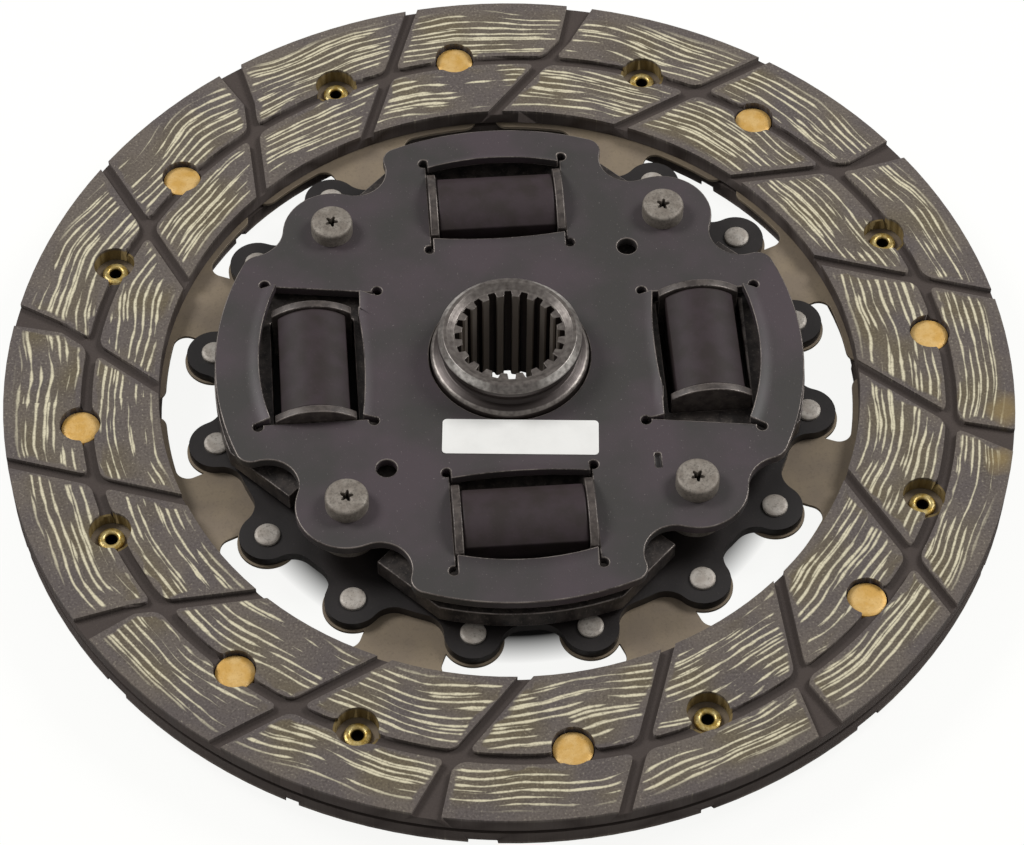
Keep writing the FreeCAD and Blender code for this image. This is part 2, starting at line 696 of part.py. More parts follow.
# Segment rivets
x, y = polar("segment_rivet_circle", f"{half_sector} - segment_rivet_spread")
segment_rivet = turned("segment_rivet_pattern", [
    ("near_axis", "blade_bottom - segment_rivet_head_thick"),
    ("segment_rivet_head - segment_rivet_chamfer", "blade_bottom - segment_rivet_head_thick"),
    ("segment_rivet_head", "blade_bottom - segment_rivet_head_thick + segment_rivet_chamfer"),
    ("segment_rivet_head", "blade_bottom"),
    ("segment_rivet_shank", "blade_bottom"),
    ("segment_rivet_shank", "carrier_top"),
    ("segment_rivet_head", "carrier_top"),
    ("segment_rivet_head", "carrier_top + segment_rivet_head_thick - segment_rivet_chamfer"),
    ("segment_rivet_head - segment_rivet_chamfer", "carrier_top + segment_rivet_head_thick"),
    ("near_axis", "carrier_top + segment_rivet_head_thick"),
])
bind(segment_rivet, Placement__Base__x=x, Placement__Base__y=y)
rivet_turns = []
for angle in sector_angles:
    rivet_turns += [angle, angle + 2 * size["segment_rivet_spread"]]
segment_rivets = ring_of_copies("segment_rivets", segment_rivet, rivet_turns)

# Stop pins: spacer between the plates, a shank through each, and a head outside each
pins = []
for k, angle in enumerate(pin_angles, start=1):
    pin = turned(f"stop_pin_{k}", [
        ("near_axis", "carrier_bottom - pin_head_thick"),
        ("pin_head - pin_head_round", "carrier_bottom - pin_head_thick"),
        ("pin_head", "carrier_bottom - pin_head_thick + pin_head_round"),
        ("pin_head", "carrier_bottom"),
        ("pin_shank", "carrier_bottom"),
        ("pin_shank", "carrier_top"),
        ("pin_spacer", "carrier_top"),
        ("pin_spacer", "cover_bottom"),
        ("pin_shank", "cover_bottom"),
        ("pin_shank", "cover_top"),
        ("pin_head", "cover_top"),
        ("pin_head", "cover_top + pin_head_thick - pin_head_round"),
        ("pin_head - pin_head_round", "cover_top + pin_head_thick"),
        ("pin_dimple", "cover_top + pin_head_thick"),
        ("near_axis", "cover_top + pin_head_thick - pin_dimple"),
    ])
    x, y = polar("pin_circle", angle)
    pins.append(bind(pin, Placement__Base__x=x, Placement__Base__y=y))


# Torsion blocks and their arched end seats
def cross_cylinder(name, angle, start, length, radius, height):
    """A cylinder across the radius at angle, which starts at a distance from it."""
    solid = doc.addObject("Part::Cylinder", name)
    turn = FreeCAD.Rotation(FreeCAD.Vector(0, 0, 1), angle)
    lay = FreeCAD.Rotation(FreeCAD.Vector(1, 0, 0), -90)
    solid.Placement = FreeCAD.Placement(FreeCAD.Vector(), turn.multiply(lay))
    x = f"block_circle * cos({angle}) - ({start}) * sin({angle})"
    y = f"block_circle * sin({angle}) + ({start}) * cos({angle})"
    bind(solid, Radius=radius, Height=length)
    return bind(solid, Placement__Base__x=x, Placement__Base__y=y, Placement__Base__z=height)


def arched_piece(name, angle, start, length, width, rise, arch):
    """A bar across the radius at angle, arched above and below, with flat sides."""
    above = cross_cylinder(name + "_above", angle, start, length, arch, f"damper_mid + {rise} - {arch}")
    below = cross_cylinder(name + "_below", angle, start, length, arch, f"damper_mid - {rise} + {arch}")
    sides = radial_box(name + "_sides", angle, f"block_circle - {width} / 2", f"block_circle + {width} / 2",
                       "window_half", f"damper_mid - {rise}", f"2 * {rise}")
    return common(name, [above, below, sides])


blocks = []
seats = []
for k, angle in enumerate(damper_angles, start=1):
    block = arched_piece(f"block_{k}_blank", angle, "-block_half", "2 * block_half",
                         "block_width", "block_rise", "block_arch")
    block = round_edges(f"damper_block_{k}", block, size["block_edge"], lambda edge: True)
    blocks.append(label(block, f"damper_block_{k}"))
    for side in (-1, 1):
        number = 2 * k - (1 if side < 0 else 0)
        start = "block_half" if side > 0 else "-block_half - seat_thick"
        seat = arched_piece(f"damper_seat_{number}", angle, start, "seat_thick",
                            "seat_width", "seat_rise", "seat_arch")
        seats.append(label(seat, f"damper_seat_{number}"))

# Hub: turned outside, then splined
hub = turned("hub", [
    ("spline_minor + bore_chamfer", "0"),
    ("hub_boss - bore_chamfer", "0"),
    ("hub_boss", "bore_chamfer"),
    ("hub_boss", "hub_boss_top"),
    ("hub_body", "hub_boss_top"),
    ("hub_body", "flange_bottom"),
    ("flange_bore", "flange_bottom"),
    ("flange_bore", "flange_top"),
    ("hub_body", "flange_top"),
    ("hub_body", "hub_shoulder_top - hub_shoulder_round"),
    ("hub_body - hub_shoulder_round", "hub_shoulder_top"),
    ("hub_neck + hub_neck_flare", "hub_shoulder_top + hub_neck_flare_rise"),
    ("hub_neck", "hub_shoulder_top + hub_neck_foot_rise"),
    ("hub_neck", "hub_shoulder_top + hub_neck_rise"),
    ("hub_collar", "hub_length - hub_collar_thick"),
    ("hub_collar", "hub_length - hub_collar_chamfer"),
    ("hub_collar - hub_collar_chamfer", "hub_length"),
    ("spline_major + countersink_lip + countersink_flare", "hub_length"),
    ("spline_major + countersink_lip", "hub_length - countersink_depth"),
    ("spline_minor", "hub_length - countersink_depth"),
    ("spline_minor", "bore_chamfer"),
])
spline = body_sketch(hub, "hub_spline", height="hub_length")
polygon(spline, "corner", [
    ("spline_minor - bore_chamfer", "-spline_mouth_width / 2"),
    ("spline_major", "-spline_root_width / 2"),
    ("spline_major", "spline_root_width / 2"),
    ("spline_minor - bore_chamfer", "spline_mouth_width / 2"),
])
repeat(hub, pocket(hub, spline, "hub_length"), spline, "spline_count")
hub.Placement.Rotation = FreeCAD.Rotation(FreeCAD.Vector(0, 0, 1), size["spline_turn"])

# Hub flange: flats and pin notches at the stop pins, a window for each block
flange_tools = [cylinder("flange_bore_tool", "flange_bore", "flange_thick", z="flange_bottom")]
notch = "(pin_spacer + stop_clearance)"
sweep = "(pin_circle * sin(twist_each_way))"
for k, angle in enumerate(pin_angles):
    flange_tools.append(radial_box(f"flange_flat_{k}", angle, "flange_flat", "flange_outer + tool_room",
                                   "flange_outer / 2", "flange_bottom", "flange_thick"))
    for side in (-1, 1):
        x, y = polar("pin_circle", f"{angle} + {side} * twist_each_way")
        corner = f"flange_notch_{k}_{side + 2}"
        flange_tools.append(cylinder(corner, notch, "flange_thick", x, y, "flange_bottom"))
    flange_tools.append(radial_box(f"flange_notch_{k}_floor", angle, f"pin_circle - {notch}", "flange_outer",
                                   sweep, "flange_bottom", "flange_thick"))
    flange_tools.append(radial_box(f"flange_notch_{k}_mouth", angle, "pin_circle", "flange_outer",
                                   f"{sweep} + {notch}", "flange_bottom", "flange_thick"))
for k, angle in enumerate(damper_angles):
    opening = "(seat_width / 2 + running_clearance)"
    flange_tools.append(radial_box(f"flange_window_{k}", angle, f"block_circle - {opening}",
                                   f"block_circle + {opening}", "window_half", "flange_bottom",
                                   "flange_thick"))
flange_disc = cylinder("flange_disc", "flange_outer", "flange_thick", z="flange_bottom")
hub_flange = label(cut("hub_flange", flange_disc, join("flange_tools", flange_tools)), "hub_flange")

# Friction rings and the disc spring that loads them
rear_ring = turned("friction_ring_rear", [
    ("ring_inner", "carrier_top"), ("ring_outer", "carrier_top"),
    ("ring_outer", "flange_bottom"), ("ring_inner", "flange_bottom"),
])
front_ring = turned("friction_ring_front", [
    ("ring_inner", "flange_top"), ("ring_outer", "flange_top"),
    ("ring_outer", "flange_top + front_ring_thick"), ("ring_inner", "flange_top + front_ring_thick"),
])
disc_spring = turned("disc_spring", [
    ("ring_inner", "flange_top + front_ring_thick"), ("ring_outer", "cover_bottom - spring_thick"),
    ("ring_outer", "cover_bottom"), ("ring_inner", "flange_top + front_ring_thick + spring_thick"),
])

# Blank label on the cover plate
sticker = doc.addObject("Part::Box", "label_blank")
turn = size["label_turn"]
sticker.Placement = FreeCAD.Placement(FreeCAD.Vector(), FreeCAD.Rotation(FreeCAD.Vector(0, 0, 1), turn))
bind(sticker, Length="label_length", Width="label_width", Height="label_thick")
bind(sticker, Placement__Base__z="cover_top",
     Placement__Base__x=f"label_offset - label_length / 2 * cos({turn}) + label_width / 2 * sin({turn})",
     Placement__Base__y=f"-label_radius - label_length / 2 * sin({turn}) - label_width / 2 * cos({turn})")
sticker = round_edges("label", sticker, size["label_corner"], upright)
label(sticker, "label")

nodes = [front_facing, rear_facing, front_facing_rivets, rear_facing_rivets, carrier_plate, cover_plate,
         segment_rivets, hub, hub_flange, rear_ring, front_ring, disc_spring, sticker]
nodes += segments + pins + blocks + seats

doc.recompute()
for thing in doc.Objects:
    if "Invalid" in thing.State or "Error" in thing.State:
        raise RuntimeError(f"{thing.Name} did not compute: {thing.State}")
for node in nodes:
    if node.Shape.isNull() or not node.Shape.isValid():
        raise RuntimeError(f"{node.Label} has no valid shape")
for node in nodes:
    node.Shape.exportStep(f"parts/{node.Label}.step")
    box = node.Shape.BoundBox
    print(f"{node.Label}: {len(node.Shape.Solids)} solids, volume {node.Shape.Volume:.1f}, "
          f"z {box.ZMin:.2f} to {box.ZMax:.2f}")
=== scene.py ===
import bmesh
import bpy
import json
import math
from mathutils import Matrix, Vector

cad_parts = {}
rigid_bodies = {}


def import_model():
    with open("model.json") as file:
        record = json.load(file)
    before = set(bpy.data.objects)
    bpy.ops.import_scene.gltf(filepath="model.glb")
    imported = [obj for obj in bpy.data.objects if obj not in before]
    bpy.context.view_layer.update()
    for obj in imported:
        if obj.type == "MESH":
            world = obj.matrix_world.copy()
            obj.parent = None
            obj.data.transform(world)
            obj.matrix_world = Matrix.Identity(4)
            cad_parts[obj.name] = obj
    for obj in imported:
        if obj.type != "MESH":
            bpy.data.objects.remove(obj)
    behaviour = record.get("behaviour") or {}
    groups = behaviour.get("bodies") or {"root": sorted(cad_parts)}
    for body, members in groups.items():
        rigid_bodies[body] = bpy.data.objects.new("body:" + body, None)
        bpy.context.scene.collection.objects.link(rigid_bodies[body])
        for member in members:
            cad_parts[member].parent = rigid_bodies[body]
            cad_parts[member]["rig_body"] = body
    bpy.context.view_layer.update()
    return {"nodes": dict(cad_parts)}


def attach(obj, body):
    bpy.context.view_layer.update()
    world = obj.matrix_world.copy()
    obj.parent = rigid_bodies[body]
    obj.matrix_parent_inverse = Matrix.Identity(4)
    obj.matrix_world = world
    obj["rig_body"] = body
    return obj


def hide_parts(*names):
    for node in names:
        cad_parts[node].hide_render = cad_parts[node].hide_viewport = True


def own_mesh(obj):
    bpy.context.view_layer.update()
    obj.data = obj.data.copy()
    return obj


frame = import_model()
nodes = frame["nodes"]
scene = bpy.context.scene
mm = 0.001
print("frame loaded:", len(nodes), "nodes")


def linear(code):  # sRGB hex to linear RGBA
    values = [int(code[k:k + 2], 16) / 255 for k in (1, 3, 5)]
    return [v / 12.92 if v <= 0.04045 else ((v + 0.055) / 1.055) ** 2.4 for v in values] + [1.0]


# Adds a node with its settings, numbers, colours and links, and gives back one of its outputs
def addNode(tree, kind, values, out=0):
    node = tree.nodes.new(kind)
    for name, value in values.items():
        if isinstance(name, str) and hasattr(node, name):
            setattr(node, name, value)
        elif isinstance(value, bpy.types.NodeSocket):
            tree.links.new(value, node.inputs[name])
        elif isinstance(value, str) and value.startswith("#"):
            node.inputs[name].default_value = linear(value)
        else:
            node.inputs[name].default_value = value
    return node.outputs[out]


# What Blender calls the nodes that are used most
mathNode, vectorNode, rangeNode = "ShaderNodeMath", "ShaderNodeVectorMath", "ShaderNodeMapRange"
noiseNode, mixNode, splitNode, joinNode = (
    "ShaderNodeTexNoise", "ShaderNodeMix", "ShaderNodeSeparateXYZ", "ShaderNodeCombineXYZ")


def newMaterial(name, gloss):
    material = bpy.data.materials.new(name)
    material.use_nodes = True
    tree = material.node_tree
    shader = tree.nodes["Principled BSDF"]
    for socket, value in gloss.items():
        shader.inputs[socket].default_value = value
    return material, tree, shader, addNode(tree, "ShaderNodeTexCoord", {}, "Object")


# Friction lining: woven yarn in resin, moulded and ground. Matt grey-brown cloth grain; where the grinding bares the
# cream yarn it shows as thin broken rows that run round the ring, in bundles. Millimetres and degrees.
lining = {
    "gloss": {"Roughness": 0.75, "Specular IOR Level": 0.3},
    "rim": 95.0,
    "bore": 66.0,
    "frontFace": 11.9,
    "rearFace": 3.9,
    "turnOver": 25.25,  # the rear facing is the front one turned over and round by this
    # grooves of the first sector: the angle at which each leaves the rim, and its course
    "sectors": 8,
    "firstFold": 3.0,
    "straightAngle": 8.0,
    "straightCourse": 161.9,
    "bentAngle": 32.2,
    "bentFirstCourse": 202.0,
    "bentFirstRun": 9.8,
    "bentCourse": 184.2,
    "bentMouth": 1.7,  # half of what the bent groove gains in width up to the rim
    "ringGroove": 81.2,
    "ringGrooveShift": 1.7,
    # along grooves, bore and rim no yarn shows
    "wanderSize": 4.5,
    "wanderReach": 3.4,
    "marginFade": 0.5,
    "boreFade": (0.8, 2.0),
    "rimFade": (1.6, 3.4),
    # rows of yarn, in two weaves over each other
    "yarnPitches": (1.5, 2.05),
    "yarnShares": (0.38, 0.44),
    "yarnSeeds": (3.1, 17.7),
    "yarnWaves": ((34, 10.0), (8, 1.0)),  # length and reach of the waves in the rows
    "rowJump": 7.31,  # step in the noise from one row to the next
    "dashesPerRadian": 4.3,
    "bundleSize": 13,
    "bundleWeight": 0.42,
    "dashEnds": (0.21, 0.33),
    "halfWidths": (-0.3, 0.19),
    "swellScale": 5.0,
    "swell": 0.6,
    "yarnEdge": (-0.10, 0.12),
    "yarnRelief": 0.8,
    # cloth grain, drawn at 0.45 mm so that it shows
    "grainSize": 0.45,
    "cloudSize": 11,
    "relief": 0.12,
    # each tint: the noise where it starts, the noise where it is full, and its most
    "coolShare": (0.4, 0.62, 1.0),
    "warmShare": (0.42, 0.66, 0.75),
    "darkShare": (0.48, 0.68, 0.5),
    "lightShare": (0.40, 0.26, 0.35),
    "rubbedYarn": (0.7, 0.5, 0.5),
    "groundDepth": (0.1, 0.25),
    # painted shade down the grooves and holes: the depths below the face over which it grows, and its most
    "shadeDepth": (0.25, 0.9),
    "shadeShare": 0.9,
    "base": "#6d645c",
    "warm": "#6b6048",
    "cool": "#625a57",
    "cream": "#e0d7b9",
    "dark": "#3b332e",
    # colour of the painted shade down the grooves and holes
    "floor": "#463d39",
    # painted reflection: the wall of each hole round a rivet's tail is tinted golden as if lit by the brass
    "tailWallReflection": "#77643a",
    "tailHole": (75.18, 29.61, 0.0),
    "tailHoleReach": 4.3,
    # rust-coloured oil marks at the rim: radius, angle and size
    "stains": ((92.8, 351.4, 1.6), (92.6, 344.2, 1.2)),
    "stain": "#96804f",
    "stainFade": (1.6, 4.4),
    "stainShare": 0.6,
    "stainWander": 4.0,
}


def makeLining(name, turnedOver):
    material, tree, shader, place = newMaterial(name, lining["gloss"])
    spin = math.radians(lining["turnOver"]) if turnedOver else 0.0
    flat = addNode(tree, "ShaderNodeMapping", {
        "Vector": place, "Rotation": (0, 0, spin), "Scale": (1 / mm, -1 / mm if turnedOver else 1 / mm, 0)})
    radius = addNode(tree, vectorNode, {"operation": "LENGTH", 0: flat}, "Value")
    x, y = (addNode(tree, splitNode, {0: flat}, k) for k in (0, 1))
    z = addNode(tree, splitNode, {0: place}, 2)
    turn = addNode(tree, mathNode, {"operation": "ARCTAN2", 0: y, 1: x})

    # all sectors are folded onto the first, where the grooves are straight lines
    sectorAngle = 2 * math.pi / lining["sectors"]
    shifted = addNode(tree, mathNode, {"operation": "SUBTRACT", 0: turn, 1: math.radians(lining["firstFold"])})
    share = addNode(tree, mathNode, {"operation": "DIVIDE", 0: shifted, 1: sectorAngle})
    sector = addNode(tree, mathNode, {"operation": "FLOOR", 0: share})
    turnBack = addNode(tree, mathNode, {"operation": "MULTIPLY", 0: sector, 1: -sectorAngle})
    folded = addNode(tree, "ShaderNodeVectorRotate", {"rotation_type": "Z_AXIS", "Vector": flat, "Angle": turnBack})

    def lineGap(start, course):  # distance from a groove's middle line
        side = (-math.sin(math.radians(course)), math.cos(math.radians(course)), 0)
        across = addNode(tree, vectorNode, {"operation": "DOT_PRODUCT", 0: folded, 1: side}, "Value")
        off = addNode(tree, mathNode, {
            "operation": "SUBTRACT", 0: across, 1: start[0] * side[0] + start[1] * side[1]})
        return addNode(tree, mathNode, {"operation": "ABSOLUTE", 0: off})

    starts = {}
    for groove in ("straight", "bent"):
        angle = math.radians(lining[groove + "Angle"])
        starts[groove] = (lining["rim"] * math.cos(angle), lining["rim"] * math.sin(angle))
    run, course = lining["bentFirstRun"], math.radians(lining["bentFirstCourse"])
    knee = (starts["bent"][0] + run * math.cos(course), starts["bent"][1] + run * math.sin(course))
    straight = lineGap(starts["straight"], lining["straightCourse"])
    firstLeg = lineGap(starts["bent"], lining["bentFirstCourse"])
    secondLeg = lineGap(knee, lining["bentCourse"])
    beyondKnee = addNode(tree, mathNode, {"operation": "GREATER_THAN", 0: radius, 1: math.hypot(*knee)})
    bent = addNode(tree, mixNode, {"data_type": "FLOAT", 0: beyondKnee, 2: secondLeg, 3: firstLeg})
    mouth = addNode(tree, rangeNode, {
        "Value": radius, "From Min": lining["rim"] - run, "From Max": lining["rim"],
        "To Min": 0.0, "To Max": lining["bentMouth"]})
    bent = addNode(tree, mathNode, {"operation": "SUBTRACT", 0: bent, 1: mouth})
    slant = addNode(tree, mathNode, {"operation": "MINIMUM", 0: straight, 1: bent})
    shift = lining["ringGrooveShift"]
    ring = addNode(tree, vectorNode, {"operation": "DISTANCE", 0: flat, 1: (shift, -shift, 0)}, "Value")
    ring = addNode(tree, mathNode, {"operation": "SUBTRACT", 0: ring, 1: lining["ringGroove"]})
    ring = addNode(tree, mathNode, {"operation": "ABSOLUTE", 0: ring})
    nearest = addNode(tree, mathNode, {"operation": "MINIMUM", 0: slant, 1: ring})
    wander = addNode(tree, noiseNode, {"Vector": flat, "Scale": 1 / lining["wanderSize"], "Detail": 1.0})
    margin = addNode(tree, mathNode, {
        "operation": "MULTIPLY_ADD", 0: wander, 1: -lining["wanderReach"], 2: nearest})
    clear = addNode(tree, rangeNode, {"Value": margin, "From Min": 0.0, "From Max": lining["marginFade"]})

    # rows of bare yarn, on the ground face alone
    wavy = radius
    for size, reach in lining["yarnWaves"]:
        wave = addNode(tree, noiseNode, {"Vector": flat, "Scale": 1 / size, "Detail": 1.0})
        wavy = addNode(tree, mathNode, {"operation": "MULTIPLY_ADD", 0: wave, 1: reach, 2: wavy})
    bundle = addNode(tree, noiseNode, {"Vector": flat, "Scale": 1 / lining["bundleSize"], "Detail": 1.0})
    along = addNode(tree, mathNode, {"operation": "MULTIPLY", 0: turn, 1: lining["dashesPerRadian"]})
    swell, (thin, thick), (edgeIn, edgeOut) = lining["swell"], lining["halfWidths"], lining["yarnEdge"]
    bare = None
    for pitch, share, seed in zip(lining["yarnPitches"], lining["yarnShares"], lining["yarnSeeds"]):
        rows = addNode(tree, mathNode, {"operation": "DIVIDE", 0: wavy, 1: pitch})
        row = addNode(tree, mathNode, {"operation": "FLOOR", 0: rows})
        part = addNode(tree, mathNode, {"operation": "FRACT", 0: rows})
        part = addNode(tree, mathNode, {"operation": "SUBTRACT", 0: part, 1: 0.5})
        part = addNode(tree, mathNode, {"operation": "ABSOLUTE", 0: part})
        off = addNode(tree, mathNode, {"operation": "MULTIPLY", 0: part, 1: pitch})
        rowSeed = addNode(tree, mathNode, {"operation": "MULTIPLY_ADD", 0: row, 1: lining["rowJump"], 2: seed})
        spot = addNode(tree, joinNode, {0: along, 1: rowSeed, 2: 0.0})
        dash = addNode(tree, noiseNode, {"Vector": spot, "Scale": 1.0, "Detail": 1.0})
        dash = addNode(tree, mathNode, {
            "operation": "MULTIPLY_ADD", 0: bundle, 1: lining["bundleWeight"], 2: dash})
        widening = addNode(tree, noiseNode, {"Vector": spot, "Scale": lining["swellScale"], "Detail": 2.0})
        widening = addNode(tree, mathNode, {"operation": "MULTIPLY_ADD", 0: widening, 1: swell, 2: -swell / 2})
        start, full = (share + end for end in lining["dashEnds"])
        half = addNode(tree, rangeNode, {
            "Value": dash, "From Min": start, "From Max": full, "To Min": thin, "To Max": thick})
        half = addNode(tree, mathNode, {"operation": "ADD", 0: half, 1: widening})
        edge = addNode(tree, mathNode, {"operation": "SUBTRACT", 0: half, 1: off})
        line = addNode(tree, rangeNode, {"Value": edge, "From Min": edgeIn, "From Max": edgeOut})
        bare = line if bare is None else addNode(tree, mathNode, {"operation": "MAXIMUM", 0: bare, 1: line})
    for low, high in ([lining["bore"] + reach for reach in lining["boreFade"]],
                      [lining["rim"] - reach for reach in lining["rimFade"]]):
        inside = addNode(tree, rangeNode, {"Value": radius, "From Min": low, "From Max": high})
        clear = addNode(tree, mathNode, {"operation": "MULTIPLY", 0: clear, 1: inside})
    face = lining["rearFace"] if turnedOver else lining["frontFace"]
    depth = addNode(tree, mathNode, {"operation": "MULTIPLY_ADD", 0: z, 1: 1 / mm, 2: -face})
    depth = addNode(tree, mathNode, {"operation": "ABSOLUTE", 0: depth})
    low, high = lining["groundDepth"]
    ground = addNode(tree, rangeNode, {
        "Value": depth, "From Min": low, "From Max": high, "To Min": 1.0, "To Max": 0.0})
    for mask in (ground, clear):
        bare = addNode(tree, mathNode, {"operation": "MULTIPLY", 0: bare, 1: mask})

    # tints, laid one over the other
    grain = addNode(tree, noiseNode, {
        "Vector": flat, "Scale": 1 / lining["grainSize"], "Detail": 3.0, "Roughness": 0.6})
    cloud = addNode(tree, noiseNode, {"Vector": flat, "Scale": 1 / lining["cloudSize"], "Detail": 2.0})
    shares = {}
    for tint, pattern in (("cool", cloud), ("warm", bundle), ("dark", grain), ("light", grain)):
        low, high, most = lining[tint + "Share"]
        shares[tint] = addNode(tree, rangeNode, {
            "Value": pattern, "From Min": low, "From Max": high, "To Max": most})
    warm = addNode(tree, mathNode, {"operation": "MULTIPLY", 0: shares["warm"], 1: clear})
    low, high, least = lining["rubbedYarn"]
    rubbed = addNode(tree, rangeNode, {"Value": grain, "From Min": low, "From Max": high, "To Min": least})
    rubbed = addNode(tree, mathNode, {"operation": "MULTIPLY", 0: bare, 1: rubbed})
    # painted shade: grooves and holes darken with depth below the face
    low, high = lining["shadeDepth"]
    sunkShade = addNode(tree, rangeNode, {
        "Value": depth, "From Min": low, "From Max": high, "To Max": lining["shadeShare"]})
    # painted reflection of the brass tail on the wall of its hole
    toTail = addNode(tree, vectorNode, {"operation": "DISTANCE", 0: folded, 1: lining["tailHole"]}, "Value")
    holeReflection = addNode(tree, mathNode, {"operation": "LESS_THAN", 0: toTail, 1: lining["tailHoleReach"]})
    holeReflection = addNode(tree, mathNode, {"operation": "MULTIPLY", 0: holeReflection, 1: sunkShade})
    layers = [(shares["cool"], "cool"), (warm, "warm"), (shares["dark"], "dark"), (shares["light"], "cream"),
              (rubbed, "cream"), (sunkShade, "floor"), (holeReflection, "tailWallReflection")]
    if not turnedOver:
        for stainRadius, stainAngle, size in lining["stains"]:
            angle = math.radians(stainAngle)
            centre = (stainRadius * math.cos(angle), stainRadius * math.sin(angle), 0)
            far = addNode(tree, vectorNode, {"operation": "DISTANCE", 0: flat, 1: centre}, "Value")
            far = addNode(tree, mathNode, {
                "operation": "MULTIPLY_ADD", 0: wander, 1: lining["stainWander"], 2: far})
            low, high = (size + reach for reach in lining["stainFade"])
            mark = addNode(tree, rangeNode, {
                "Value": far, "From Min": low, "From Max": high, "To Min": lining["stainShare"], "To Max": 0.0})
            layers.append((mark, "stain"))
    colour = lining["base"]
    for share, tint in layers:
        colour = addNode(tree, mixNode, {"data_type": "RGBA", 0: share, 6: colour, 7: lining[tint]}, 2)
    tree.links.new(colour, shader.inputs["Base Color"])
    relief = addNode(tree, mathNode, {
        "operation": "MULTIPLY_ADD", 0: bare, 1: lining["yarnRelief"], 2: grain})
    normal = addNode(tree, "ShaderNodeBump", {
        "Height": relief, "Distance": lining["relief"] * mm, "Strength": 0.8})
    tree.links.new(normal, shader.inputs["Normal"])
    return material


frontLining = makeLining("wovenLiningFront", False)
rearLining = makeLining("wovenLiningRear", True)
print("linings mixed")

